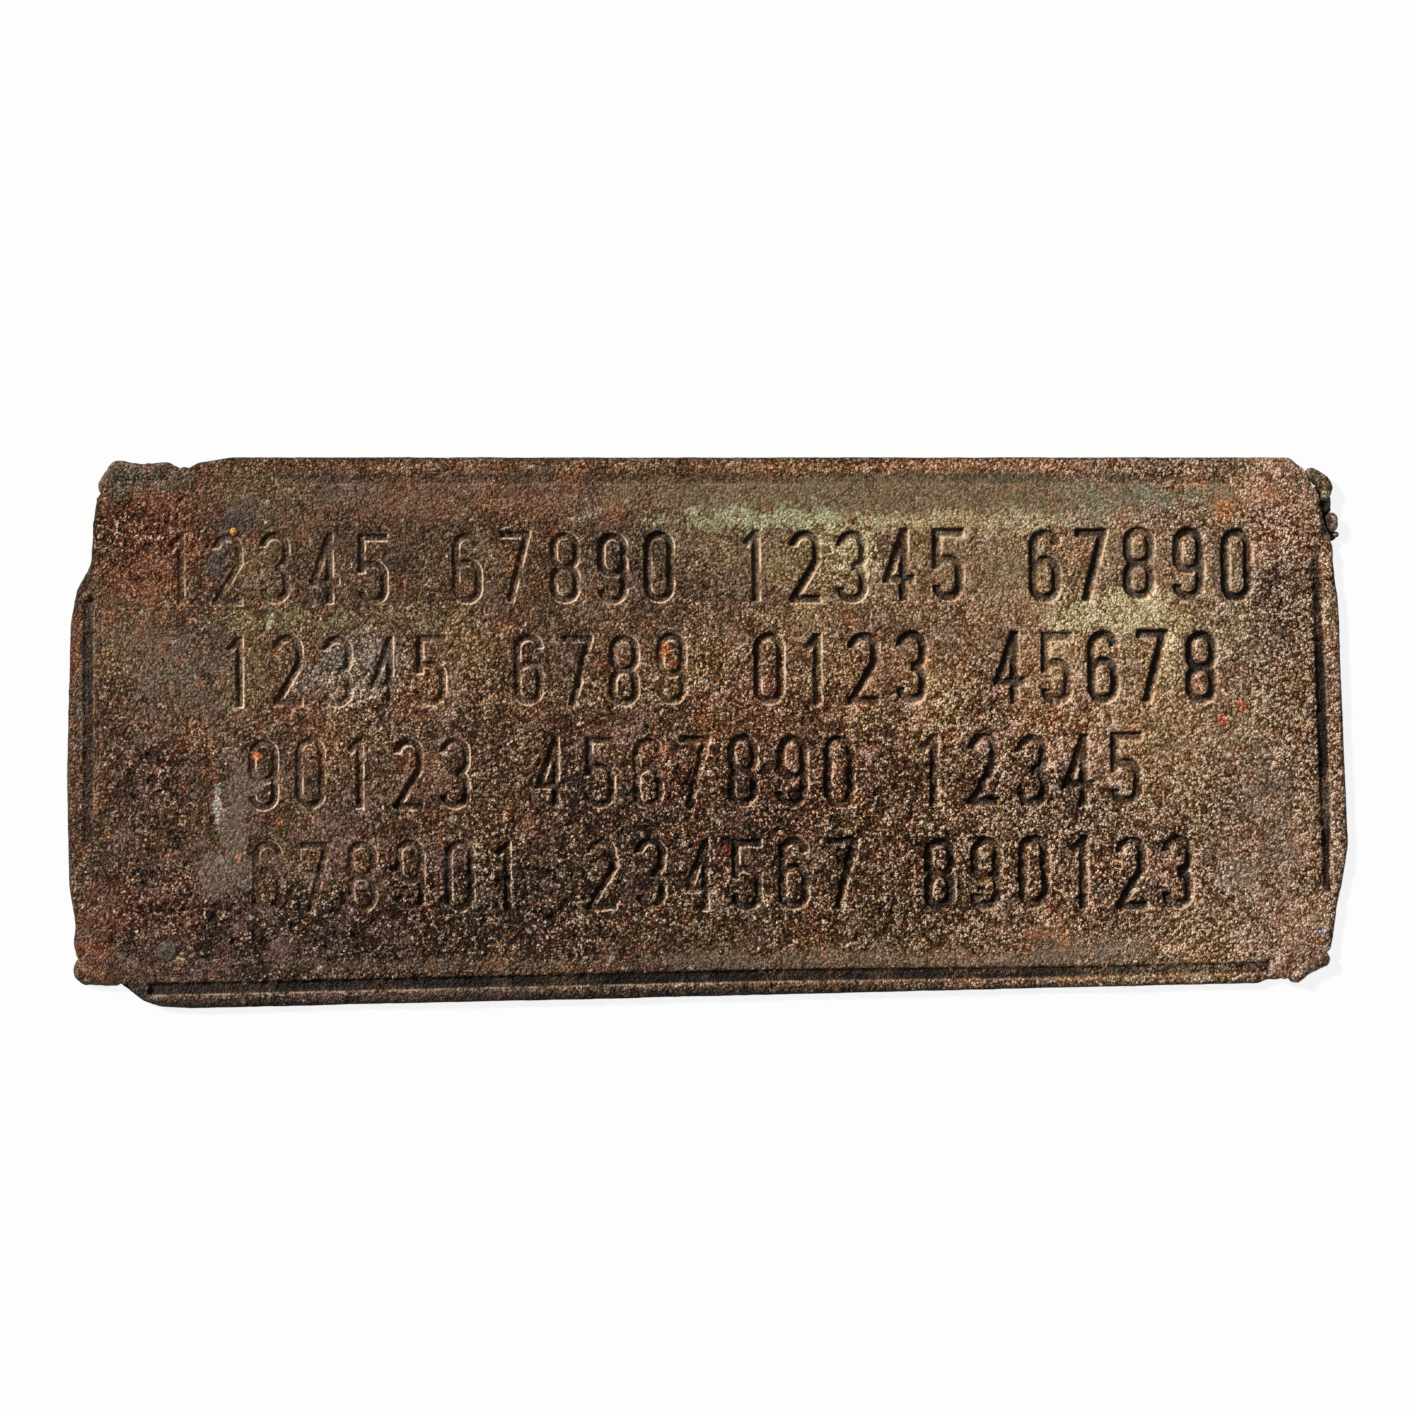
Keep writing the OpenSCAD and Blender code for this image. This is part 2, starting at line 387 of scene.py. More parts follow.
def field_of(outlines, points, strengths=None):
    """The field of a set of outlines. Each has its own strength, or 1."""
    best = np.full(len(points), FAR)
    place = points.copy()
    strength = np.ones(len(points))
    for number, chosen, distance, nearest in near_each(outlines, points, FIELD_REACH):
        closer = distance < best[chosen]
        chosen = chosen[closer]
        best[chosen] = distance[closer]
        place[chosen] = nearest[closer]
        if strengths is not None:
            strength[chosen] = strengths[number]
    outward = (points - place) * np.sign(best)[:, None] / np.maximum(np.abs(best), 0.001)[:, None]
    away = -np.array([math.cos(math.radians(KEY_TURN)), math.sin(math.radians(KEY_TURN))])
    return Field(best, place, outward @ away, strength)


def edge_distance(points, loop):
    """Distance to the plate's outline for the points near it, and FAR for the rest."""
    segments = np.stack([loop, np.roll(loop, -1, axis=0)], axis=1)
    pieces = np.split(segments, range(EDGE_PIECE, len(segments), EDGE_PIECE))
    best = np.full(len(points), FAR)
    for _, chosen, distance, _ in near_each(pieces, points, EDGE_REACH):
        best[chosen] = np.minimum(best[chosen], np.abs(distance))
    return best


# The grid over the face

def inward_normals(loop):
    """Directions of length 1 that point into an anticlockwise loop."""
    along = np.roll(loop, -1, axis=0) - np.roll(loop, 1, axis=0)
    along = along / np.linalg.norm(along, axis=1)[:, None]
    return np.stack([-along[:, 1], along[:, 0]], axis=1)


def lengths_along(chain):
    """How far along a chain of points each of them lies."""
    return np.concatenate([[0], np.cumsum(np.linalg.norm(np.diff(chain, axis=0), axis=1))])


def dense_loop(points):
    """The outline with a point every FACE_STEP, its corners eased and its edge a little uneven."""
    closed = np.vstack([points, points[:1]])
    lengths = lengths_along(closed)
    places = np.linspace(0, lengths[-1], int(lengths[-1] / FACE_STEP), endpoint=False)
    dense = np.stack([np.interp(places, lengths, closed[:, k]) for k in (0, 1)], axis=1)
    for _ in range(OUTLINE_EASING):
        dense = (np.roll(dense, 1, axis=0) + 2 * dense + np.roll(dense, -1, axis=0)) / 4
    x, y = dense.T
    near_corner = smooth((np.abs(x) - 185) / 20) * smooth((np.abs(y) - 55) / 20)
    nibbled = (0.12 + 0.2 * near_corner) * (1 + noise(x, y, 3.5, 6))
    bite = 0.16 * (1 + noise(x, y, 14, 5)) + nibbled
    return dense + inward_normals(dense) * (bite * OUTLINE_WEAR)[:, None]


def graded(length):
    """Shares from 0 to 1 along a side, close together near its ends and FACE_STEP apart between."""
    near = [0.0]
    step = EDGE_STEP
    while step < FACE_STEP:
        near.append(near[-1] + step)
        step *= STEP_GROWTH
    near = np.array(near)
    count = int((length - 2 * near[-1]) / FACE_STEP)
    count += -(count + 2 * (len(near) - 1)) % BACK_RATIO
    middle = np.linspace(near[-1], length - near[-1], count + 1)
    return np.concatenate([near[:-1], middle, length - near[-2::-1]]) / length


def resampled(chain, shares):
    """Points at shares of a chain's length."""
    lengths = lengths_along(chain)
    return np.stack([np.interp(shares * lengths[-1], lengths, chain[:, k]) for k in (0, 1)], axis=1)


def face_grid(loop):
    """Points over the whole face in rows and columns that follow its four sides."""
    low = loop.min(axis=0)
    high = loop.max(axis=0)
    targets = [(low[0], low[1]), (high[0], low[1]), (high[0], high[1]), (low[0], high[1])]
    marks = [int(np.linalg.norm(loop - target, axis=1).argmin()) for target in targets]
    loop = np.roll(loop, -marks[0], axis=0)
    marks = [(mark - marks[0]) % len(loop) for mark in marks] + [len(loop)]
    closed = np.vstack([loop, loop[:1]])
    chains = [closed[marks[k]:marks[k + 1] + 1] for k in range(4)]
    shares_x = graded(high[0] - low[0])
    shares_y = graded(high[1] - low[1])
    lower = resampled(chains[0], shares_x)
    right = resampled(chains[1], shares_y)
    upper = resampled(chains[2][::-1], shares_x)
    left = resampled(chains[3][::-1], shares_y)
    u = shares_x[:, None, None]
    v = shares_y[None, :, None]
    sides = (1 - v) * lower[:, None] + v * upper[:, None] + (1 - u) * left[None] + u * right[None]
    corners = (1 - u) * ((1 - v) * lower[0] + v * upper[0]) + u * ((1 - v) * lower[-1] + v * upper[-1])
    return sides - corners


def snapped(points, inner, field):
    """Grid points close to a cut's rim are moved onto it, so that the rim is a clean line."""
    close = inner & (np.abs(field.distance) < SNAP_REACH)
    moved = points.copy()
    moved[close] = field.place[close]
    field.distance[close] = 0
    return moved


# What the face looks like from place to place. Each patch is its name, its centre, its half sizes, its
# colour, how much of that colour it has, how ragged its border is and how smooth its steel is.

Patch = namedtuple("Patch", "name centre half tint share ragged smoothness")
PATCHES = [Patch(*row) for row in (
    ("strip_scale", (77, 83.5), (118, 7.5), WARM_GREY * 0.5 + OLIVE * 0.45, 0.82, 0.35, 0.93),
    ("strip_scale_left", (-118, 81.5), (36, 6), WARM_GREY, 0.35, 0.5, 0.45),
    ("green_edge", (17, 75), (44, 4.2), VERDIGRIS * 1.1, 0.75, 0.6, 0.6),
    ("green_edge_right", (92, 74), (46, 4.2), CREAM_GREEN, 0.4, 0.7, 0.6),
    ("green_row_one", (10, 62), (20, 11), OLIVE, 0.6, 0.8, 0.2),
    ("cream_row_one", (50, 60), (13, 11), CREAM_GREEN, 0.55, 0.8, 0.2),
    ("grey_row_one", (126, 60), (56, 11), GREY_BROWN * 0.6 + OLIVE * 0.5, 0.45, 0.8, 0.2),
    ("teal", (154, 83), (20, 5), TEAL * 0.8 + CREAM_GREEN * 0.2, 0.3, 1.5, 0.3),
    ("teal_low", (128, 76), (18, 3), TEAL * 0.5 + CREAM_GREEN * 0.4, 0.45, 1.2, 0.4),
    ("cream_right", (138, 41), (30, 7), CREAM_GREEN, 0.8, 0.75, 0.2),
    ("cream_corner", (171, 34), (18, 14), CREAM_GREEN, 0.5, 0.8, 0.3),
    ("olive_left", (-152, 39), (26, 5.5), OLIVE, 0.75, 0.6, 0.3),
    ("olive_left_two", (-100, 41), (22, 5), OLIVE, 0.5, 0.8, 0.2),
    ("olive_row_one", (-160, 58), (8, 6), OLIVE, 0.6, 0.6, 0.3),
    ("grey_left", (-188, 22), (24, 19), GREY_BROWN, 0.5, 0.5, 0.6),
    ("olive_margin", (-165, 16), (9, 12), OLIVE, 0.3, 0.6, 0.4),
    ("red_grains", (-196, 70), (20, 24), RED_BROWN * 0.7 + RUST * 0.5, 0.6, 0.5, 0.0),
    ("red_top_left", (-100, 79), (24, 7), RED_BROWN, 0.3, 0.7, 0.1),
    ("red_top_middle", (-34, 78), (6, 5), RED_ORANGE, 0.2, 0.8, 0.1),
    ("blue_top_left", (-165, 74), (9, 3.2), BLUE_GREY * 0.8, 0.6, 0.7, 0.3),
    ("blue_row_one", (-172, 60), (4, 7), BLUE_GREY, 0.6, 0.7, 0.4),
    ("orange_rim", (75, 94.2), (70, 1.7), ORANGE * 0.5 + TAN * 0.7, 0.5, 0.8, 0.1),
    ("orange_rim_left", (-112, 94), (60, 1.6), ORANGE * 0.4 + TAN * 0.6, 0.4, 0.8, 0.1),
    ("orange_by_strip", (184, 79), (7, 4.5), ORANGE_TAN, 0.6, 0.8, 0.0),
    ("orange_under_strip", (191, 62), (4, 3), ORANGE_TAN, 0.6, 0.8, 0.0),
    ("orange_over_strip", (170, 88), (6, 3), ORANGE_TAN, 0.5, 0.8, 0.0),
    ("orange_corner", (196, 84), (13, 8), ORANGE * 0.75 + TAN * 0.5, 0.55, 0.8, 0.0),
    ("pink_corner", (204, 72), (14, 20), PINK_TAN + ORANGE * 0.35, 0.6, 0.6, 0.0),
    ("grey_right_upper", (190, 6), (20, 60), GREY_BROWN * 1.4, 0.4, 0.5, 0.1),
    ("grey_right", (198, -28), (12, 24), GREY_BROWN * 1.4, 0.5, 0.6, 0.4),
    # Painted shadow: near black where the recess beside the top right weld lies in shade.
    ("recess_shadow", (217.0, 76.5), (1.6, 8), SPECK_AND_SHADOW_BLACK, 0.95, 0.3, 0.5),
    ("red_spot", (181, 4.5), (2.6, 2), RED_ORANGE, 0.9, 0.5, 0.2),
    ("red_spot_two", (188, 9.8), (2, 1.8), RED_ORANGE, 0.8, 0.5, 0.2),
    ("smooth_bottom_right", (187.5, -49.5), (9.5, 9), GREY_BROWN * 1.75, 0.8, 0.5, 0.6),
    ("pale_right_rim", (222, -5), (5, 78), PINK_TAN * 1.35, 0.45, 0.7, 0.0),
    ("pink_fleck", (205, -58), (3, 1.3), PINK_TAN, 0.8, 0.4, 0.3),
    ("lilac_fleck", (215.7, -70), (1.6, 2), LILAC_GREY, 0.85, 0.4, 0.6),
    ("white_fleck", (188, -70), (1.1, 0.8), PALE_GREY, 0.9, 0.3, 0.5),
    ("pink_low_corner", (203, -68), (18, 12), PINK_TAN * 1.15, 0.5, 0.6, 0.2),
    # Painted glints: pale grey where the grains over row two catch the light.
    ("glints_over_row_two", (-126, 22), (21, 13), PALE_GREY, 0.28, 0.8, 0.1),
    ("boot_leg", (-164, -21), (7, 11), WARM_GREY, 0.9, 0.3, 0.8),
    ("boot_ankle", (-166.5, -37), (5, 10), WARM_GREY, 0.9, 0.3, 0.8),
    ("boot_foot", (-169, -50), (11.5, 8), WARM_GREY, 0.9, 0.28, 0.8),
    ("boot_fleck", (-172.6, -25), (1.7, 6.6), PALE_GREY * 0.85, 0.95, 0.3, 0.7),
    ("orange_row_three", (-158.5, -8.3), (1.8, 1.5), ORANGE * 1.3, 0.95, 0.3, 0.5),
    ("orange_row_two", (-14.5, 30), (2, 3.2), ORANGE, 0.8, 0.6, 0.1),
    ("orange_row_two_low", (-12, 24), (1.4, 2.4), ORANGE, 0.7, 0.6, 0.1),
    ("orange_row_four", (7, -42), (1.5, 1.9), ORANGE, 0.8, 0.5, 0.1),
    ("tan_row_four", (2.5, -55), (1.6, 3), TAN, 0.6, 0.6, 0.1),
    ("yellow_fleck", (97.8, -51.4), (1.5, 1.8), YELLOW, 0.95, 0.3, 0.3),
    ("green_fleck", (-154, 39.7), (1.3, 3.2), VERDIGRIS * 1.25, 0.9, 0.3, 0.6),
    ("white_spot", (-1, 18.3), (1.6, 1.3), PALE_GREY, 0.75, 0.4, 0.4),
    ("smooth_low_left", (-150.5, -78), (5.5, 5.5), SCALE_BROWN, 0.8, 0.8, 0.8),
    ("scale_fleck", (-166, -69), (3.4, 3.4), SCALE_BROWN * 1.1, 0.7, 0.9, 0.7),
    ("tan_low_left", (-186, -80), (2.2, 1.5), TAN, 0.9, 0.4, 0.6),
    ("orange_low_left", (-165, -44), (1.4, 1.4), ORANGE, 0.8, 0.4, 0.3),
    ("orange_low_corner", (-217, -78), (9, 8), ORANGE, 0.35, 0.6, 0.3),
    ("bottom_band", (58, -80), (98, 4.2), WARM_GREY, 0.6, 0.5, 0.75),
    ("bottom_band_right", (128, -75), (24, 6), GREY_BROWN, 0.6, 0.6, 0.7),
    ("orange_low_right", (118, -71), (14, 2), ORANGE, 0.3, 0.8, 0.1),
    ("grey_left_rim", (-220.2, 12), (1.8, 21), GREY_BROWN, 0.6, 0.4, 0.7),
    ("orange_left_rim", (-222.5, 30), (1.6, 14), ORANGE, 0.35, 0.7, 0.2),
    ("red_left_edge", (-212, -62), (12, 12), RED_BROWN, 0.5, 0.7, 0.2),
    ("red_low_left", (-190, -65), (22, 9), RED_BROWN, 0.45, 0.7, 0.0),
    ("grey_top_left", (-203, 89), (15, 4.5), GREY_BROWN, 0.75, 0.4, 0.7),
    ("tan_row_three", (-100, -16), (40, 14), TAN, 0.12, 0.9, 0.0),
    ("olive_row_three", (166, 0), (16, 9), OLIVE * 1.1, 0.45, 0.8, 0.3),
    ("bottom_band_left", (-95, -81.5), (85, 2.6), WARM_GREY * 0.6, 0.5, 0.6, 0.6),
)]
FIRST_PATCH_SEED = 50
# The patches where smooth scale or paint is left, a little higher than the rust around it.
RAISED_PATCHES = ("boot_leg", "boot_ankle", "boot_foot", "smooth_bottom_right", "smooth_low_left")

# In the next three tables a row is a change, and the centre and half sizes of the place that it is made at.
# Where the marks are worn: the share of their depth that is gone.
WORN_PLACES = [
    (0.25, (-185, 58), (34, 26)),
    (0.1, (-130, 60), (50, 24)),
    (0.45, (-160, -52), (52, 18)),
    (0.25, (-90, -50), (50, 18)),
    (0.3, (-175, -14), (34, 18)),
    (0.12, (20, -50), (40, 18)),
]
# Where the rust is finer or coarser.
GRAIN_PLACES = [
    (-0.15, (-60, 64), (150, 24)),
    (-0.2, (110, 50), (80, 34)),
    (-0.2, (0, 84), (200, 10)),
    (-0.2, (-203, 40), (18, 18)),
    (0.3, (-198, 70), (26, 26)),
    (0.35, (205, 40), (20, 50)),
    (0.8, (45, -42), (140, 36)),
    (0.65, (-110, -66), (80, 22)),
    (0.5, (-195, -62), (30, 24)),
    (0.35, (0, 0), (130, 30)),
    (0.5, (-190, -5), (22, 10)),
    (0.35, (-200, -38), (24, 28)),
    (0.3, (-130, -72), (60, 16)),
]
# Where the face is lighter or darker.
TONE_PLACES = [
    (0.28, (65, 20), (170, 28)),
    (-0.24, (-200, -62), (75, 48)),
    (-0.24, (-130, 62), (90, 22)),
    (-0.08, (-25, -8), (50, 26)),
    (-0.1, (-30, 2), (22, 16)),
    (0.34, (-112, 8), (42, 26)),
    (0.22, (-154, 39), (40, 7)),
    (0.22, (130, 4), (80, 44)),
    (-0.14, (-140, -76), (80, 12)),
    (0.14, (-184, -54), (18, 14)),
    (0.1, (-184, -72), (20, 22)),
    (0.34, (60, 2), (90, 34)),
    (0.1, (-50, 84), (110, 8)),
    (0.3, (200, 22), (22, 26)),
]
# Where the steel is less red.
CALM_PLACE = ((66, 50), (112, 38))


def in_ellipse(x, y, centre, half):
    """Distance from a centre as a share of an ellipse's half sizes."""
    return np.hypot((x - centre[0]) / half[0], (y - centre[1]) / half[1])


def soft_place(x, y, centre, half, reach=1.4):
    """1 in the middle of an ellipse, and less to 0 at reach times its half sizes."""
    return smooth(reach - in_ellipse(x, y, centre, half))


def changed(value, x, y, places):
    """A value raised or lowered at places."""
    for change, centre, half in places:
        value = value + change * soft_place(x, y, centre, half)
    return value


def patch_mask(x, y, patch, seed, luck):
    """How much of a patch there is at each point. A ragged one breaks up into stains and single grains."""
    radius = in_ellipse(x, y, patch.centre, patch.half)
    mask = np.zeros(len(x))
    near = radius < 2.4
    size = min(max(min(patch.half) * 1.3, 2.0), 12)
    edge = radius[near] + patch.ragged * 1.1 * noise(x[near], y[near], size, seed, 5)
    edge = edge + patch.ragged * 0.9 * (luck[near] - 0.5)
    mask[near] = smooth((1.15 - edge) / (0.12 + 0.8 * patch.ragged))
    return mask


def crispness(x):
    """0 where the marks are worn, at the left, and 1 where they are crisp and wide, at the right."""
    return smooth((x + 60) / 180)


def struck_depth(x, y, luck):
    """Depth of the marks: full at the right, less at the left and in the worn places."""
    depth = 0.7 + 0.3 * smooth((x + 170) / 260)
    for gone, centre, half in WORN_PLACES:
        depth = depth * (1 - gone * soft_place(x, y, centre, half))
    return FULL_DEPTH * depth * luck * (1 + 0.12 * noise(x, y, 12, 40))


def border_depth(x, y):
    """Depth of the border line: deep at the right and bottom, faint at the top and left."""
    top_side = smooth((y - 70) / 15)
    left_side = smooth((-x - 205) / 8)
    depth = np.clip(1.1 - 0.85 * top_side - 0.5 * left_side, 0.16, 1.1)
    return depth * (1 + 0.15 * noise(x, y, 18, 41))


def groove(distance, depth, section):
    """Depth of a struck line: a gentle dip towards its rim, then a steep wall down to its floor."""
    wall, dip_share, reach = section
    dip = depth * dip_share
    outside = dip * np.exp(-np.clip(distance, 0, None) / reach)
    return outside + (depth - dip) * smooth(-distance / wall)


class Surface:
    """Heights, colours and finish of the plate's face. It knows each point's distance to the plate's edge,
    the fields of the figures and the border line, and the distance to the second strokes."""

    def __init__(self, points, edge, struck, line, ghost):
        self.points = points
        self.x, self.y = points.T
        self.edge = edge
        self.mark, self.lit, self.luck = struck.distance, struck.lit, struck.strength
        self.line_lit = line.lit
        self.foot = smooth((-self.y - 75) / 5)
        self.line = line.distance - (LINE_WIDENED + FOOT_WIDENED * self.foot) * unit(line.lit)
        self.ghost = ghost
        self.coarse, self.coarse_luck = grains(self.x, self.y, COARSE_SIZE, 21)
        self.fine, self.fine_luck = grains(self.x, self.y, FINE_SIZE, 22)
        self.lumps, self.lump_luck = grains(self.x, self.y, LUMP_SIZE, 23)
        self.pits, self.pit_luck = grains(self.x, self.y, PIT_SIZE, 24)
        self.crumbs = noise(self.x, self.y, CRUMB_SIZE, 25)
        self.scale = self.scale_left()
        self.masks = {
            patch.name: patch_mask(self.x, self.y, patch, FIRST_PATCH_SEED + number, self.fine_luck)
            for number, patch in enumerate(PATCHES)
        }
        self.grain = self.graininess()
        ragged = STROKE_RAGGED * unit(self.grain - 0.5) * noise(self.x, self.y, 2.3, 28)
        self.worn_mark = self.mark - STROKE_WIDENED * crispness(self.x) + ragged

    def scale_left(self):
        """Ragged islands of smooth scale that the rust has left, most of them low at the left."""
        x, y = self.x, self.y
        place = 0.2 + 0.4 * smooth((-x - 40) / 120) * smooth((10 - y) / 60)
        place = place + 0.15 * smooth((y - 62) / 12)
        island = noise(x, y, 8, 27, 5) + 0.3 * (self.fine_luck - 0.5)
        return smooth((island - 0.62 + place) / 0.14)

    def graininess(self):
        """How grainy and pitted the steel is from place to place."""
        grain = changed(0.68 + 0.3 * noise(self.x, self.y, 22, 11), self.x, self.y, GRAIN_PLACES)
        grain = grain * (1 - 0.45 * self.scale) * (1 - 0.4 * smooth(0.5 - self.mark / 0.3))
        for patch in PATCHES:
            grain = grain * (1 - patch.smoothness * self.masks[patch.name])
        return np.clip(grain, 0.05, 1.7)

    def heights(self, face):
        """Height of every point above the floor, for a face that was rolled at one height."""
        x, y = self.x, self.y
        z = face - FACE_LOWERED
        z = z + WARP[1] * noise(x, y, WARP[0], 31) + WAVES[1] * noise(x, y, WAVES[0], 32)
        z = z - groove(self.worn_mark, struck_depth(x, y, self.luck), FIGURE_GROOVE)
        z = z - groove(self.ghost, GHOST_DEPTH * smooth((self.mark - 0.3) / 0.8), GHOST_GROOVE)
        z = z - groove(self.line, border_depth(x, y), LINE_GROOVE)
        lift = self.lumps * (self.lump_luck > 1 - LUMP_SHARE) * LUMP_LIFT
        lift = lift + self.coarse * COARSE_LIFT * self.coarse_luck ** 2
        lift = lift + self.fine * FINE_LIFT * self.fine_luck + CRUMB_LIFT * self.crumbs
        z = z + self.grain * np.clip(lift - MEAN_LIFT, -1, HIGHEST_LIFT) + SCALE_LIFT * self.scale
        z = z - PIT_DEPTH * self.pits * (self.pit_luck > 1 - PIT_SHARE) * unit(self.grain)
        z = z - DENT_DEPTH * soft_place(x, y, *DENT, reach=1.3)
        for name in RAISED_PATCHES:
            z = z + SMOOTH_LIFT * self.masks[name]
        z = z - SHOULDER_DROP * unit(1 - self.edge / SHOULDER) ** 2
        width = EDGE_ROUNDING * (1 + 0.9 * smooth((-y - 75) / 10) + 0.5 * smooth((x - 210) / 8))
        rounding = unit(1 - self.edge / width)
        return z - EDGE_ROUNDING * (1 - np.sqrt(unit(1 - rounding ** 2)))

    def tone(self):
        """Lightness from place to place: the right is pale, and the left and the foot are dark."""
        x, y = self.x, self.y
        tone = 1.14 + 1.32 * smooth((x + 20) / 240) - 0.12 * smooth((-x - 20) / 80)
        tone = changed(tone - 0.12 * smooth((-y - 5) / 60) * smooth((140 - x) / 110), x, y, TONE_PLACES)
        clouds = 0.3 * noise(x, y, 26, 67, 5) + 0.06 * noise(x, y, 7, 68)
        return tone * (1 + unit(0.25 + self.grain) * clouds)

    def colours(self):
        """Colour of every point: clouds of brown and rust, paler steel at the right, patches and grains."""
        x, y = self.x, self.y
        clouds = noise(x, y, 16, 61, 5)
        stains = noise(x, y, 5, 62)
        calm = soft_place(x, y, *CALM_PLACE)
        redness = noise(x, y, 20, 63, 5) + 0.5 * self.crumbs
        rusty = smooth(1.3 * noise(x, y, 6, 66, 2) + 0.6 * self.crumbs) * (1 - 0.6 * calm)
        low_left = smooth((-x - 60) / 60) * smooth(-y / 40)
        tint = painted(
            np.tile(MID_BROWN, (len(x), 1)),
            (OLIVE_BROWN, 0.6 * smooth(0.5 - 1.2 * clouds + 0.6 * stains)),
            (DARK_BROWN, 0.4 * smooth(0.2 + 1.1 * clouds + 0.6 * stains)),
            (RED_BROWN, 0.4 * (1 - 0.6 * calm) * smooth(0.1 + 1.3 * redness)),
            (RUST, 0.6 * rusty * smooth(0.5 + noise(x, y, 14, 69))),
            (SCALE_BROWN * 1.15, (0.5 + 0.2 * low_left) * self.scale),
        )
        tint = painted(
            tint * self.tone()[:, None],
            (PALE_STEEL, 0.4 * smooth((x - 40) / 150) + 0.08 * calm),
            *((patch.tint, patch.share * self.masks[patch.name]) for patch in PATCHES),
        )
        return self.speckled(tint)

    def speckled(self, tint):
        """Each grain has its own shade: a few are pale, some are orange, and the gaps are dark, partly as
        the rust's own grain and partly as painted shade in the hollows between grains. It also adds a
        painted highlight on the lit crest of the border line at the foot, and painted shade along the
        plate's rounded edge and on the foot's outer band.
        """
        amount = 1.1 * np.clip(self.grain, 0, 1.6)
        # The gaps between grains and the low crumbs are darker, and the higher grains lighter: partly the
        # rust's own grain, partly painted shade in the hollows.
        shade = 1 - amount * (0.22 * (1 - self.coarse) + 0.12 * (1 - self.fine))
        shade = shade * (1 + amount * (0.75 * self.crumbs + 0.6 * self.coarse_luck ** 2 - 0.05))
        right = smooth((self.x - 20) / 180)
        flecks = (self.lump_luck < 0.06) * smooth(self.lumps * 1.6 - 0.3 + 0.7 * self.crumbs)
        # Painted highlight: dotted pale grains on the crest beside the border line's lit wall at the foot.
        crest_highlight = np.exp(-((self.line - 0.6) / 0.7) ** 2) * unit(self.line_lit) * self.foot
        tint = painted(
            relit(tint, np.clip(shade, 0.12, 3)),
            (PALE_GRAIN_AND_HIGHLIGHT, (self.coarse_luck > 0.97) * self.coarse * 0.35),
            (ORANGE * (0.7 + 0.45 * right)[:, None], flecks * (0.3 - 0.08 * right)),
            (PALE_GRAIN_AND_HIGHLIGHT * 0.7, crest_highlight * (0.12 + 0.5 * self.coarse_luck ** 2)),
        )
        scab = smooth(1 - np.abs(self.scale - 0.5) * 2.4)
        # Painted shade along the plate's rounded edge, weaker at the right.
        edge_shade = np.exp(-self.edge / (1.1 + 0.4 * noise(self.x, self.y, 6, 65)))
        edge_shade = edge_shade * (0.92 - 0.5 * smooth((self.x - 150) / 60))
        # Painted shade on the outer band of the foot, whose rounded edge falls away from the light, except
        # under the painted crest highlight.
        foot_edge_shade = smooth((5.2 - self.edge) / 2.5) * self.foot * smooth((130 - self.x) / 70)
        return tint * ((1 - 0.4 * scab) * (1 - edge_shade) * (1 - 0.5 * foot_edge_shade * (1 - crest_highlight)))[:, None]

    def strokes(self):
        """For the material: distance to the nearest struck line, where its painted shadow starts, how dark
        that painted shadow is and how bright the painted highlight on its rim is."""
        x, y = self.x, self.y
        on_line = np.abs(self.line) < np.abs(self.mark)
        mark = np.where(on_line, self.line, self.worn_mark)
        lit = np.where(on_line, self.line_lit, self.lit)
        strength = struck_depth(x, y, self.luck) / FULL_DEPTH
        strength = np.where(on_line, 1.1 * border_depth(x, y), strength)
        # Painted shadow in the strokes and the border line: it starts at the rim of the wall away from the
        # light, and further in from the lit wall.
        shade_from = np.where(on_line, -0.15 - self.narrowed(), -0.2 - 0.35 * lit)
        left = (1 - crispness(x)) * smooth((y + 25) / 15)
        # The painted shadow is darkest on the side of a stroke away from the light and fades towards the lit
        # wall.
        towards_light = smooth(0.45 + lit * unit(1 + mark / HALF_STROKE))
        painted_shadow = (0.4 + 0.85 * strength) * (1 - 0.35 * left) * (1 - 0.7 * towards_light)
        painted_shadow = np.where(on_line, 0.9 * strength ** 0.7, painted_shadow)
        painted_shadow = painted_shadow * (0.9 + 0.3 * noise(x, y, 9, 35))
        painted_shadow = painted_shadow * (1 - 0.45 * on_line * self.foot * smooth((x - 110) / 75))
        # Painted highlight on the rims that face the light, with pale worn edges added where the marks are
        # worn, at the left.
        rim = unit(0.85 * lit + 0.6 * (1 - crispness(x))) * np.where(on_line, LINE_RIM, 1)
        broken = 1.3 * noise(x, y, 5, 64) + 1.3 * self.grain * noise(x, y, 1.7, 70)
        rim = rim * smooth(0.6 + broken)
        rim = rim * unit(strength * 1.5)
        shade = (shade_from - mark) * np.where(on_line, LINE_SOFTNESS, 1)
        return {"mark": mark, "shade": shade, "painted_shadow": 0.97 * unit(painted_shadow), "rim": rim}

    def narrowed(self):
        """How much narrower the border line's painted shadow is: it tapers at the ends of its right side and
        foot.
        """
        x, y = self.x, self.y
        wide = smooth((62 - y) / 45) * smooth((y + 58) / 35)
        right = smooth((x - 200) / 5)
        return 0.9 * right * (1 - wide) + 0.35 * (1 - right) * smooth((x - 60) / 120)

    def roughness(self):
        """Coarse rust is rougher than smooth steel."""
        return np.clip(0.5 + 0.22 * self.grain, 0.4, 0.82)


# Meshes from arrays

def new_object(name, data, material=None):
    """An object in the scene: a mesh, a lamp or a camera."""
    if material:
        data.materials.append(material)
    made = bpy.data.objects.new(name, data)
    bpy.context.scene.collection.objects.link(made)
    return made


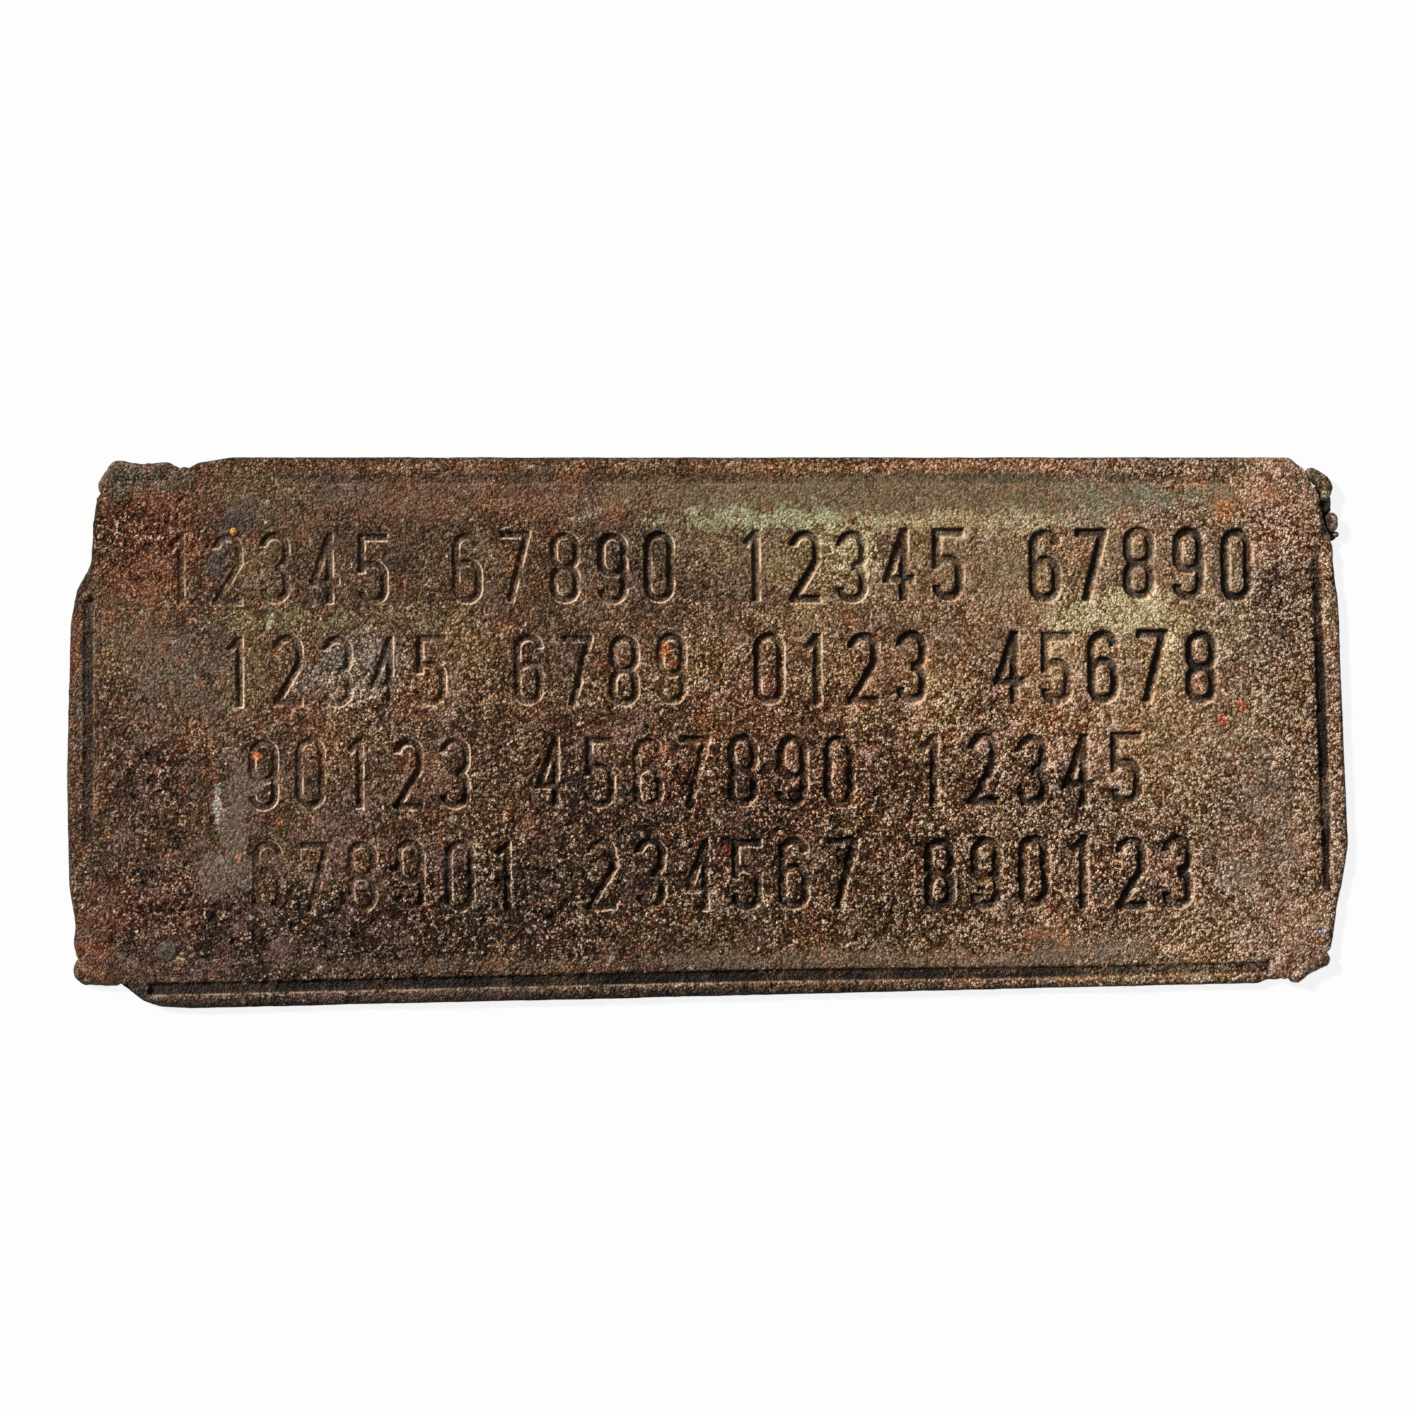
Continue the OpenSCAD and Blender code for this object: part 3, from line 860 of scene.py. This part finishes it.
def mesh_from(name, points, faces):
    """A smooth mesh from points in millimetres and groups of faces with the same number of corners."""
    mesh = bpy.data.meshes.new(name)
    loops = np.concatenate([group.ravel() for group in faces]).astype(np.int32)
    sizes = np.concatenate([np.full(len(group), group.shape[1]) for group in faces])
    starts = np.concatenate([[0], np.cumsum(sizes)[:-1]]).astype(np.int32)
    mesh.vertices.add(len(points))
    mesh.vertices.foreach_set("co", (points * MM).astype(np.float32).ravel())
    mesh.loops.add(len(loops))
    mesh.loops.foreach_set("vertex_index", loops)
    mesh.polygons.add(len(sizes))
    mesh.polygons.foreach_set("loop_start", starts)
    mesh.update(calc_edges=True)
    mesh.polygons.foreach_set("use_smooth", np.ones(len(sizes), dtype=bool))
    mesh.update()
    return mesh


def give_values(mesh, tint, **values):
    """Stores each point's colour and other values for the material."""
    rgba = np.ones((len(tint), 4), dtype=np.float32)
    rgba[:, :3] = np.clip(tint, 0.002, 1)
    layer = mesh.attributes.new("tint", "FLOAT_COLOR", "POINT")
    layer.data.foreach_set("color", rgba.ravel())
    for name, numbers in values.items():
        layer = mesh.attributes.new(name, "FLOAT", "POINT")
        layer.data.foreach_set("value", np.asarray(numbers, dtype=np.float32))


# The plate

# Its map for baking: the face fills most of it, and the wall's four sides lie between it and the back.
MAP_EDGE = 0.005
MAP_WIDTH = 1 - 2 * MAP_EDGE
FACE_BAND = (0.01, 0.75)
WALL_BAND = 0.765
WALL_STRIP = 0.02
WALL_STRIP_FILLED = 0.8
BACK_BAND = (0.86, 0.99)

# The finish of the wall and the back.
PLAIN_ROUGHNESS = 0.7
PLAIN_GRAIN = 0.8


def flat_map(points, faces, band):
    """Map places of faces that are seen from straight above or below."""
    low = points[:, :2].min(axis=0)
    high = points[:, :2].max(axis=0)
    across, up = ((points[faces.ravel(), :2] - low) / (high - low)).T
    return np.column_stack([MAP_EDGE + MAP_WIDTH * across, band[0] + (band[1] - band[0]) * up])


def wall_map(columns, rows):
    """Map places of the wall's faces, ring by ring: each side of the plate has its own strip."""
    levels = len(WALL_RINGS)
    places = []
    for level in range(levels):
        heights = 1 - (level + np.array([1, 1, 0, 0])) / levels
        for side, count in enumerate((columns, rows, columns, rows)):
            across = MAP_EDGE + MAP_WIDTH * (np.arange(count)[:, None] + [0, 1, 1, 0]) / columns
            up = WALL_BAND + WALL_STRIP * (side + WALL_STRIP_FILLED * heights)
            places.append(np.stack(np.broadcast_arrays(across, up), axis=-1).reshape(-1, 2))
    return np.vstack(places)


def border_of(numbers):
    """The point numbers along a grid's border, anticlockwise from its lower left corner."""
    return np.concatenate([numbers[:-1, 0], numbers[-1, :-1], numbers[:0:-1, -1], numbers[0, :0:-1]])


def quads_of(numbers):
    """Faces of a grid of point numbers."""
    corners = [numbers[:-1, :-1], numbers[1:, :-1], numbers[1:, 1:], numbers[:-1, 1:]]
    return np.stack(corners, axis=-1).reshape(-1, 4)


def quads_between(upper, lower):
    """Faces between two closed rings of point numbers."""
    return quads_of(np.stack([np.append(lower, lower[0]), np.append(upper, upper[0])], axis=1))


def back_fans(ring, back_ring):
    """Faces between the fine border and the wide border of the back grid."""
    fine = np.append(ring, ring[0])
    wide = np.append(back_ring, back_ring[0])
    return np.array([
        [*fine[k * BACK_RATIO:(k + 1) * BACK_RATIO + 1][::-1], wide[k], wide[k + 1]]
        for k in range(len(back_ring))
    ])


def seams(points, edge):
    """1 at the points of the plate's edge that a weld touches, and less to 0 a little further on."""
    corners = np.vstack([packed_mesh(node)[0] for node in WELDS])
    tree = kdtree.KDTree(len(corners))
    for number, corner in enumerate(corners):
        tree.insert((corner[0], corner[1], 0), number)
    tree.balance()
    seam = np.zeros(len(points))
    for number in np.flatnonzero(edge < SHOULDER):
        gap = tree.find((*points[number], 0))[2]
        seam[number] = 1 - gap / SEAM_REACH
    return smooth(seam)


def struck_surface(grid, loop, cuts):
    """The plate's face on a grid, whose points are moved onto the strokes' rims. Where a weld joins it, the
    edge counts as further away, so that it isn't rounded there."""
    flat = grid.reshape(-1, 2)
    inner = np.zeros(grid.shape[:2], dtype=bool)
    inner[1:-1, 1:-1] = True
    inner = inner.ravel()
    figures = [one for one in cuts if is_figure(one)]
    runs = [one for one in cuts if not is_figure(one)]
    luck = np.random.default_rng(3)
    struck = field_of(figures, flat, luck.uniform(*STROKE_LUCK, len(figures)))
    flat = snapped(flat, inner, struck)
    lowered = FOOT_LOWERED * smooth((-flat[:, 1] - 60) / 12) * smooth((flat[:, 0] - 10) / 130)
    line = field_of(runs, flat + np.column_stack([np.zeros(len(flat)), lowered]))
    ghosts = [one for one in figures if luck.random() < GHOST_SHARE]
    ghost = field_of(ghosts, flat + np.array(GHOST_SHIFT)).distance
    edge = edge_distance(flat, loop[::OUTLINE_SKIP])
    edge[~inner] = 0
    return Surface(flat, edge + SEAM_SHIFT * seams(flat, edge), struck, line, ghost)


def wall_rings(rim, heights):
    """Points of the wall's rings from the top down, under a rim with its own heights."""
    inward = inward_normals(rim)
    x, y = rim.T
    for share, inset in WALL_RINGS:
        bumps = 1 + noise(x + 40 * share, y - 40 * share, 2.2, 71)
        uneven = inset + WALL_UNEVEN * bumps * (share > 0)
        yield np.column_stack([rim + inward * uneven[:, None], heights * share])


def back_sheet(grid):
    """Points of the back: every few of the face's, drawn in at the border and a little uneven."""
    flat = grid[::BACK_RATIO, ::BACK_RATIO]
    border = border_of(np.arange(flat.shape[0] * flat.shape[1]).reshape(flat.shape[:2]))
    flat = flat.reshape(-1, 2).copy()
    flat[border] += inward_normals(flat[border]) * BACK_INSET
    x, y = flat.T
    rise = 0.05 * (1 + noise(x, y, 6, 72)) + 0.04 * (1 + noise(x, y, 25, 73))
    return np.column_stack([flat, rise])


def plain_rust(x, y, z):
    """Colour of the wall and the back: dark rust with redder clouds."""
    broad = smooth(0.5 + 0.7 * noise(x + z, y - z, 30, 81))[:, None]
    local = smooth(0.5 + 0.9 * noise(x - z, y + z, 5, 82))[:, None]
    tint = MID_BROWN * (1 - broad) + RED_BROWN * 0.9 * broad
    return tint * (0.55 + 0.4 * local)


def plate_mesh(grid, surface, face_height):
    """The mesh of the face, the wall and the back with its map for baking, and the points that aren't the
    face's."""
    face = np.column_stack([surface.points, surface.heights(face_height)])
    numbers = np.arange(len(face)).reshape(grid.shape[:2])
    rim = border_of(numbers)
    rings = list(wall_rings(surface.points[rim], face[rim, 2]))
    back = back_sheet(grid)
    points = np.vstack([face, *rings, back])
    levels = [rim, *(len(face) + len(rim) * k + np.arange(len(rim)) for k in range(len(rings)))]
    back_shape = numbers[::BACK_RATIO, ::BACK_RATIO].shape
    back_numbers = np.arange(len(points) - len(back), len(points)).reshape(back_shape)
    face_quads = quads_of(numbers)
    wall_quads = [quads_between(upper, lower) for upper, lower in zip(levels[:-1], levels[1:])]
    back_quads = quads_of(back_numbers)[:, ::-1]
    fans = back_fans(levels[-1], border_of(back_numbers))
    mesh = mesh_from("plate_steel", points, [face_quads, *wall_quads, back_quads, fans])
    bake_map = np.vstack([
        flat_map(points, face_quads, FACE_BAND),
        wall_map(grid.shape[0] - 1, grid.shape[1] - 1),
        flat_map(points, back_quads, BACK_BAND),
        flat_map(points, fans, BACK_BAND),
    ])
    mesh.uv_layers.new(name="OFBake").data.foreach_set("uv", bake_map.astype(np.float32).ravel())
    return mesh, points[len(face):]


def plate_piece(material):
    """The struck plate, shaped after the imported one."""
    corners, triangles = packed_mesh("plate")
    face_height = corners[:, 2].max()
    floors = flat_faces(corners, triangles, 0.1, face_height - 0.05)
    loop = dense_loop(outline_loop(corners, triangles))
    grid = face_grid(loop)
    surface = struck_surface(grid, loop, separate_outlines(corners, floors))
    mesh, rest = plate_mesh(grid, surface, face_height)
    plain = len(rest)
    give_values(
        mesh,
        np.vstack([surface.colours(), plain_rust(*rest.T)]),
        rough=np.concatenate([surface.roughness(), np.full(plain, PLAIN_ROUGHNESS)]),
        grain=np.concatenate([surface.grain, np.full(plain, PLAIN_GRAIN)]),
        **{name: np.concatenate([values, np.zeros(plain)]) for name, values in surface.strokes().items()},
    )
    plate = new_object("plate_steel", mesh, material)
    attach(plate, "root")
    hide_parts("plate")


# Weld metal

# Each weld: its colour, and the radius and number of the lobes along its joint to the plate.
WELDS = {
    "weld_top_left": (GREY_BROWN * 0.45 + OLIVE * 0.25, 3.2, 12),
    "weld_top_right": (OLIVE * 0.5 + GREY_BROWN * 0.4, 1.4, 3),
    "weld_top_right_drop": (PINK_TAN * 0.9, 1.3, 2),
    "weld_bottom_right": (PINK_TAN * 0.78, 2.8, 8),
    "weld_bottom_left": (RUST * 0.4 + MID_BROWN * 0.35, 3.0, 7),
}
# A lobe's centre lies this many radii inwards of the joint and this deep. Its radius varies by a factor.
LOBE_INSET = 1.1
LOBE_SUNK = 0.35
LOBE_LUCK = (0.75, 1.15)
LOBE_HEIGHTS = (0.5, 0.75)
# How molten metal is finished: the size of its mesh's cells, its roughness, how uneven and how grainy it is.
Finish = namedtuple("Finish", "voxel roughness uneven grain")
WELD_FINISH = Finish(0.2, 0.55, 0.22, 0.7)
SPATTER_FINISH = Finish(0.12, 0.6, 0.08, 0.3)
# The rounds that soften its mesh, and the swelling that makes up for what they take off.
SOFTENING = 7
SWELL = 0.14
# What is left of a piece's height above the plate's face.
CROWN_SHARE = 0.55

# Low metal that fills the recess between the top right weld and the plate, from its top end to its foot. The
# weld's colours paint it near black, as painted shade in the recess.
RECESS_PLACES = [
    (215.6, 85.6),
    (215.9, 83.6),
    (216.6, 81.2),
    (217.3, 78.2),
    (218.2, 75.2),
    (219.2, 72.2),
    (220.0, 69.6),
]
# The centre of the recess, where the weld's painted shade is darkest.
RECESS = (217.6, 76.0)
RECESS_RADIUS = 1.9
RECESS_TOP = 1.5

# Where each ball or drop of spatter lies, and its colour.
SPATTER_TINTS = [
    ((-218.5, 48.2), TAN * 0.6),
    ((-166.6, 70.8), YELLOW * 0.5 + ORANGE * 0.6),
    ((-190.0, -76.7), GREY_BROWN * 0.75),
    ((221.5, 69.0), PINK_TAN * 0.8),
]


def remeshed(name, source, voxel):
    """An even mesh over everything in the source mesh."""
    maker = new_object(name + "_maker", source)
    remesh = maker.modifiers.new("even", "REMESH")
    remesh.mode = "VOXEL"
    remesh.voxel_size = voxel * MM
    soften = maker.modifiers.new("soften", "SMOOTH")
    soften.iterations = SOFTENING
    evaluated = maker.evaluated_get(bpy.context.evaluated_depsgraph_get())
    mesh = bpy.data.meshes.new_from_object(evaluated)
    bpy.data.objects.remove(maker)
    return mesh


def lobe_places(corners, count):
    """Places spread along the part of a weld that lies on the plate's face."""
    joint = corners[np.abs(corners[:, 2] - face_top) < 0.02]
    if not len(joint):
        return joint
    chosen = [joint[joint[:, 0].argmin()]]
    while len(chosen) < count:
        gaps = np.min([np.linalg.norm(joint - one, axis=1) for one in chosen], axis=0)
        chosen.append(joint[gaps.argmax()])
    return np.array(chosen)


def add_lobe(shape, place, radius, height):
    """A flattened ball, as one of the lobes that a weld is melted together from."""
    before = len(shape.verts)
    bmesh.ops.create_icosphere(shape, subdivisions=3, radius=1)
    shape.verts.ensure_lookup_table()
    for vertex in shape.verts[before:]:
        vertex.co.x = (place[0] + vertex.co.x * radius) * MM
        vertex.co.y = (place[1] + vertex.co.y * radius) * MM
        vertex.co.z = (place[2] + vertex.co.z * height) * MM


def molten_piece(node, source, finish, tint_of, material):
    """An even mesh over the source, roughened, with a lower crown, above the floor and with its values."""
    mesh = remeshed(node, source, finish.voxel)
    count = len(mesh.vertices)
    places = threes(mesh.vertices, "co") / MM
    normals = threes(mesh.vertex_normals, "vector")
    x, y, z = places.T
    bumps = noise(x + 0.7 * z, y - 0.7 * z, 1.6, 91)
    places = places + normals * (SWELL + finish.uneven * (bumps - 0.4))[:, None]
    over = np.clip(places[:, 2] - face_top, 0, None)
    places[:, 2] = np.clip(places[:, 2] - (1 - CROWN_SHARE) * over, 0, None)
    mesh.vertices.foreach_set("co", (places * MM).astype(np.float32).ravel())
    mesh.polygons.foreach_set("use_smooth", np.ones(len(mesh.polygons), dtype=bool))
    mesh.update()
    rough, grain = np.full(count, finish.roughness), np.full(count, finish.grain)
    give_values(mesh, tint_of(x, y, z), rough=rough, grain=grain)
    piece = new_object(node + "_metal", mesh, material)
    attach(piece, "root")
    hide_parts(node)


def weld_piece(node, base, lobe_radius, lobe_count, material):
    """One weld: its solid and the lobes along its joint, melted together."""
    corners, _ = packed_mesh(node)
    shape = bmesh.new()
    shape.from_mesh(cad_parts[node].data)
    luck = np.random.default_rng(lobe_count)
    for x, y, _ in lobe_places(corners, lobe_count):
        radius = lobe_radius * luck.uniform(*LOBE_LUCK)
        inward = 1 - LOBE_INSET * radius / math.hypot(x, y)
        add_lobe(shape, (x * inward, y * inward, face_top - LOBE_SUNK), radius, luck.uniform(*LOBE_HEIGHTS))
    if node == "weld_top_right":
        for place in RECESS_PLACES:
            add_lobe(shape, (*place, RECESS_TOP / 2), RECESS_RADIUS, RECESS_TOP / 2)
    joined = bpy.data.meshes.new(node)
    shape.to_mesh(joined)
    shape.free()

    def tint_of(x, y, z):
        """Its colour with rust, dark and pale stains, and painted shade low down and in the recess."""
        tint = painted(
            np.tile(base, (len(x), 1)),
            (RUST * 0.8, 0.5 * smooth(0.3 + 1.1 * noise(x + z, y - z, 3.5, 95))),
            (DARK_BROWN, 0.5 * smooth(0.2 + 1.1 * noise(x - z, y + z, 2.4, 96))),
            (PALE_GRAIN_AND_HIGHLIGHT, 0.5 * smooth(1.6 * noise(x, y, 1.3, 98) - 0.7)),
        )
        # Painted shade: darker towards the weld's foot, low down, and near black in the recess beside the
        # top right weld.
        from_recess = np.hypot(x - RECESS[0], (y - RECESS[1]) / 4)
        clear = smooth((z - 0.8) / 2.0) * smooth((from_recess - 1.2) / 1.2)
        return tint * (0.1 + 0.9 * clear)[:, None]

    molten_piece(node, joined, WELD_FINISH, tint_of, material)


def spatter_piece(material):
    """The balls and drops of spatter, each in its own colour."""
    node = "weld_spatter"
    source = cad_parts[node].data.copy()
    source.materials.clear()

    def tint_of(x, y, z):
        """The colour of the nearest ball, with stains."""
        gaps = np.array([np.hypot(x - place[0], y - place[1]) for place, _ in SPATTER_TINTS])
        tint = np.array([shade for _, shade in SPATTER_TINTS])[gaps.argmin(axis=0)]
        stain = smooth(0.4 + 0.9 * noise(x + z, y - z, 1.4, 97))[:, None]
        return tint * (1 - 0.35 * stain)

    molten_piece(node, source, SPATTER_FINISH, tint_of, material)


# Materials

class Nodes:
    """The nodes of one new material. An input is a plain value or another node's output."""

    def __init__(self, name):
        self.material = bpy.data.materials.new(name)
        self.material.use_nodes = True
        self.tree = self.material.node_tree
        self.tree.nodes.clear()

    def add(self, kind, inputs=(), **settings):
        """A new node's outputs."""
        node = self.tree.nodes.new(kind)
        for name, value in settings.items():
            setattr(node, name, value)
        for name, value in dict(inputs).items():
            if isinstance(value, bpy.types.NodeSocket):
                self.tree.links.new(value, node.inputs[name])
            else:
                node.inputs[name].default_value = value
        return node.outputs

    def finished(self, shader):
        """The material, with a shader as its surface."""
        self.add("ShaderNodeOutputMaterial", {"Surface": shader})
        return self.material

    def maths(self, operation, *values, **settings):
        """The outcome of a calculation with numbers."""
        return self.add("ShaderNodeMath", enumerate(values), operation=operation, **settings)[0]

    def product(self, *values):
        """Numbers multiplied with each other."""
        total = values[0]
        for value in values[1:]:
            total = self.maths("MULTIPLY", total, value)
        return total

    def vectors(self, operation, *values):
        """The outcome of a calculation with vectors or colours."""
        return self.add("ShaderNodeVectorMath", enumerate(values), operation=operation)[0]

    def moved(self, value, low, high, from_low=0.0, from_high=1.0):
        """A value moved from one range to another."""
        ends = {"From Min": from_low, "From Max": from_high, "To Min": low, "To Max": high}
        return self.add("ShaderNodeMapRange", {"Value": value, **ends})["Result"]

    def noise(self, place, size, detail, roughness):
        """Noise with bumps about size millimetres apart."""
        shape = {"Scale": 1 / (size * MM), "Detail": detail, "Roughness": roughness}
        return self.add("ShaderNodeTexNoise", {"Vector": place, **shape})

    def cells(self, place, size):
        """Cells about size millimetres apart: the distance from each, and the parts of its random colour."""
        cells = self.add("ShaderNodeTexVoronoi", {"Vector": place, "Scale": 1 / (size * MM)})
        return cells["Distance"], self.add("ShaderNodeSeparateColor", {"Color": cells["Color"]})

    def bent(self, place, size, reach):
        """Coordinates that wander by reach millimetres, so that cells are uneven."""
        bend = self.noise(place, size, 2.0, 0.5)["Color"]
        return self.vectors("MULTIPLY_ADD", bend, (reach * MM, reach * MM, reach * MM), place)

    def painted(self, below, above, factor, kind="MIX"):
        """A colour mixed with a plain one by a factor."""
        inputs = {"Factor": factor, "A": below, "B": (*above, 1.0)}
        return self.add("ShaderNodeMix", inputs, data_type="RGBA", blend_type=kind)["Result"]

    def powered(self, tint, power):
        """A colour's parts raised to a power, to turn linear values into shown ones or back."""
        return self.add("ShaderNodeGamma", {"Color": tint, "Gamma": power})["Color"]

    def relit(self, tint, shade, strength):
        """The same as the function relit, with the shade raised to a strength first."""
        power = self.maths("DIVIDE", strength, SHOWN_POWER)
        change = self.maths("SUBTRACT", self.maths("POWER", shade, power), 1.0)
        seen = self.powered(tint, 1 / SHOWN_POWER)
        step = self.product(change, self.add("ShaderNodeRGBToBW", {"Color": seen})["Val"])
        above = self.vectors("MAXIMUM", self.vectors("ADD", seen, step), tuple(shown(SPECK_AND_SHADOW_BLACK)))
        within = self.vectors("MINIMUM", above, tuple(shown(PALE_CRUMB)))
        return self.powered(within, SHOWN_POWER)


SHEEN = 0.22
# How rare light grains are: the power that each grain's random lightness is raised to.
GRAIN_LUCK = 1.6

# What values become in the material: the two ends of the new range, and the ends of the old one.
# The dome and crumb ranges darken the gaps and low parts of the grains, partly as painted shade.
DOME_SHADE = (1.55, 0.2, 0.2, 0.8)
CRUMB_SHADE = (0.15, 1.9, 0.3, 0.7)
GRAIN_STRENGTH = (0.38, 1.85, 0.0, 1.5)
REDDER = (0.0, 0.2, 0.5, 1.0)
PALE_SPECKS = (0.0, 0.6, 0.98, 0.987)
BLACK_SPECKS = (0.0, 0.75, 0.82, 0.88)
COARSE_HERE = (0.0, 1.0, 0.4, 1.3)
SIDE_WOBBLE = (-0.5, 0.5, 0.2, 0.8)
# The next two shape the strokes' painted shadow and the width of the painted highlight on their rims.
STROKE_SHADE = (0.0, 1.0, -0.12, 0.3)
RIM_WIDTH = (1.0, 0.0, 0.14, 0.42)
GLOSS_SPREAD = (-0.08, 0.1, 0.3, 0.7)


def rusted_metal(name, grain_size, contrast, bump_height):
    """Corroded steel: the mesh holds its broad colours, and this adds fine grains and crisp strokes, with
    painted shadow in the strokes and painted highlights on their rims.
    """
    nodes = Nodes(name)
    place = nodes.add("ShaderNodeTexCoord")["Object"]
    value = {
        key: nodes.add("ShaderNodeAttribute", attribute_name=key)["Color" if key == "tint" else "Fac"]
        for key in ("tint", "rough", "grain", "mark", "shade", "painted_shadow", "rim")
    }
    crumbs = nodes.noise(place, grain_size * 1.7, 5.0, 0.75)["Fac"]
    bent = nodes.bent(place, grain_size * 2.5, grain_size * 2.0)
    distance, parts = nodes.cells(bent, grain_size)
    _, speck_parts = nodes.cells(bent, grain_size * 1.3)

    # The grains: each is a dome with its own lightness and dark gaps round it, and the noise groups them.
    # The dark gaps and the darker low noise, where the bump is low too, are partly painted shade in the
    # hollows between grains.
    dome = nodes.moved(distance, *DOME_SHADE)
    rare = nodes.maths("POWER", parts["Red"], GRAIN_LUCK)
    shade = nodes.moved(rare, 1 - 1.15 * contrast, 1 + 1.75 * contrast)
    strength = nodes.moved(value["grain"], *GRAIN_STRENGTH)
    shade = nodes.product(shade, dome, nodes.moved(crumbs, *CRUMB_SHADE))
    tint = nodes.relit(value["tint"], shade, strength)

    # Some grains are redder, and a few are white or black.
    coarse = nodes.moved(value["grain"], *COARSE_HERE)
    pale = nodes.product(nodes.moved(speck_parts["Red"], *PALE_SPECKS), coarse)
    black = nodes.product(nodes.moved(speck_parts["Green"], *BLACK_SPECKS), coarse)
    tint = nodes.painted(tint, RED_GRAIN, nodes.moved(parts["Green"], *REDDER), "MULTIPLY")
    tint = nodes.painted(tint, PALE_CRUMB, pale)
    tint = nodes.painted(tint, SPECK_AND_SHADOW_BLACK, black)

    # The strokes: a painted shadow in their bottoms with a crisp side, and a thin painted highlight on their
    # rims, which is also the pale of worn rims where the marks are worn.
    side = nodes.maths("ADD", value["shade"], nodes.moved(crumbs, *SIDE_WOBBLE))
    tint = nodes.painted(tint, SPECK_AND_SHADOW_BLACK, nodes.product(nodes.moved(side, *STROKE_SHADE), value["painted_shadow"]))
    thin = nodes.moved(nodes.maths("ABSOLUTE", value["mark"]), *RIM_WIDTH)
    tint = nodes.painted(tint, RIM_HIGHLIGHT_AND_WEAR, nodes.product(thin, value["rim"]))

    # Fine relief and gloss.
    relief = {"Height": nodes.product(crumbs, dome, strength), "Distance": bump_height * MM, "Strength": 1.0}
    normal = nodes.add("ShaderNodeBump", relief)["Normal"]
    gloss = nodes.maths("ADD", value["rough"], nodes.moved(crumbs, *GLOSS_SPREAD), use_clamp=True)
    finish = {"Base Color": tint, "Roughness": gloss, "Normal": normal, "Specular IOR Level": SHEEN}
    return nodes.finished(nodes.add("ShaderNodeBsdfPrincipled", finish)["BSDF"])


def floor_material():
    """White floor that still takes the object's shadow."""
    nodes = Nodes("pale_floor")
    path = nodes.add("ShaderNodeLightPath")
    seen = nodes.maths("MAXIMUM", path["Is Camera Ray"], path["Is Glossy Ray"])
    seen = nodes.maths("MAXIMUM", seen, path["Is Transmission Ray"])
    matt = nodes.add("ShaderNodeBsdfDiffuse", {"Color": (FLOOR_COLOUR, FLOOR_COLOUR, FLOOR_COLOUR, 1)})[0]
    white = nodes.add("ShaderNodeEmission")[0]
    share = nodes.moved(seen, 0.0, FLOOR_WHITE_SHARE)
    return nodes.finished(nodes.add("ShaderNodeMixShader", {"Fac": share, 1: matt, 2: white})[0])


# Floor, lights and camera

def make_floor():
    """One large square just under the plate."""
    half = FLOOR_SIZE / 2
    corners = [(-half, -half), (half, -half), (half, half), (-half, half)]
    points = np.array([(x, y, -FLOOR_GAP) for x, y in corners])
    mesh = mesh_from("floor", points, [np.array([[0, 1, 2, 3]])])
    new_object("floor", mesh, floor_material())


def add_sun(name, strength, spread, light_colour=(1, 1, 1), tilt=0.0, turn=0.0):
    """A sun lamp that shines straight down, or tilted from there and turned."""
    light = bpy.data.lights.new(name, "SUN")
    light.energy = strength
    light.angle = math.radians(spread)
    light.color = light_colour
    new_object(name, light).rotation_euler = (math.radians(tilt), 0, math.radians(turn))


def make_lights():
    """A low key light, a weak broad light from above and a dim even world."""
    world = bpy.data.worlds.new("studio")
    world.use_nodes = True
    background = world.node_tree.nodes["Background"]
    background.inputs["Color"].default_value = (1, 1, 1, 1)
    background.inputs["Strength"].default_value = WORLD_STRENGTH
    bpy.context.scene.world = world
    add_sun("key", KEY_STRENGTH, KEY_SPREAD, KEY_COLOUR, 90 - KEY_HEIGHT, KEY_TURN + 90)
    add_sun("fill", FILL_STRENGTH, FILL_SPREAD)


def make_camera():
    """A camera straight above the plate."""
    lens = bpy.data.cameras.new("camera")
    lens.sensor_width = SENSOR_WIDTH
    lens.lens = SENSOR_WIDTH * (CAMERA_PLACE[2] - face_top) / FRAME_WIDTH
    camera = new_object("camera", lens)
    camera.location = [value * MM for value in CAMERA_PLACE]
    bpy.context.scene.camera = camera


bpy.context.scene.view_settings.view_transform = "Standard"
face_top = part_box("plate")[1].z / MM
make_camera()
make_lights()
make_floor()
plate_piece(rusted_metal("rusted_steel", grain_size=0.85, contrast=0.65, bump_height=0.6))
weld_metal = rusted_metal("weld_metal", grain_size=0.9, contrast=0.45, bump_height=0.4)
for weld_node, (weld_tint, weld_radius, weld_lobes) in WELDS.items():
    weld_piece(weld_node, weld_tint, weld_radius, weld_lobes, weld_metal)
spatter_piece(weld_metal)
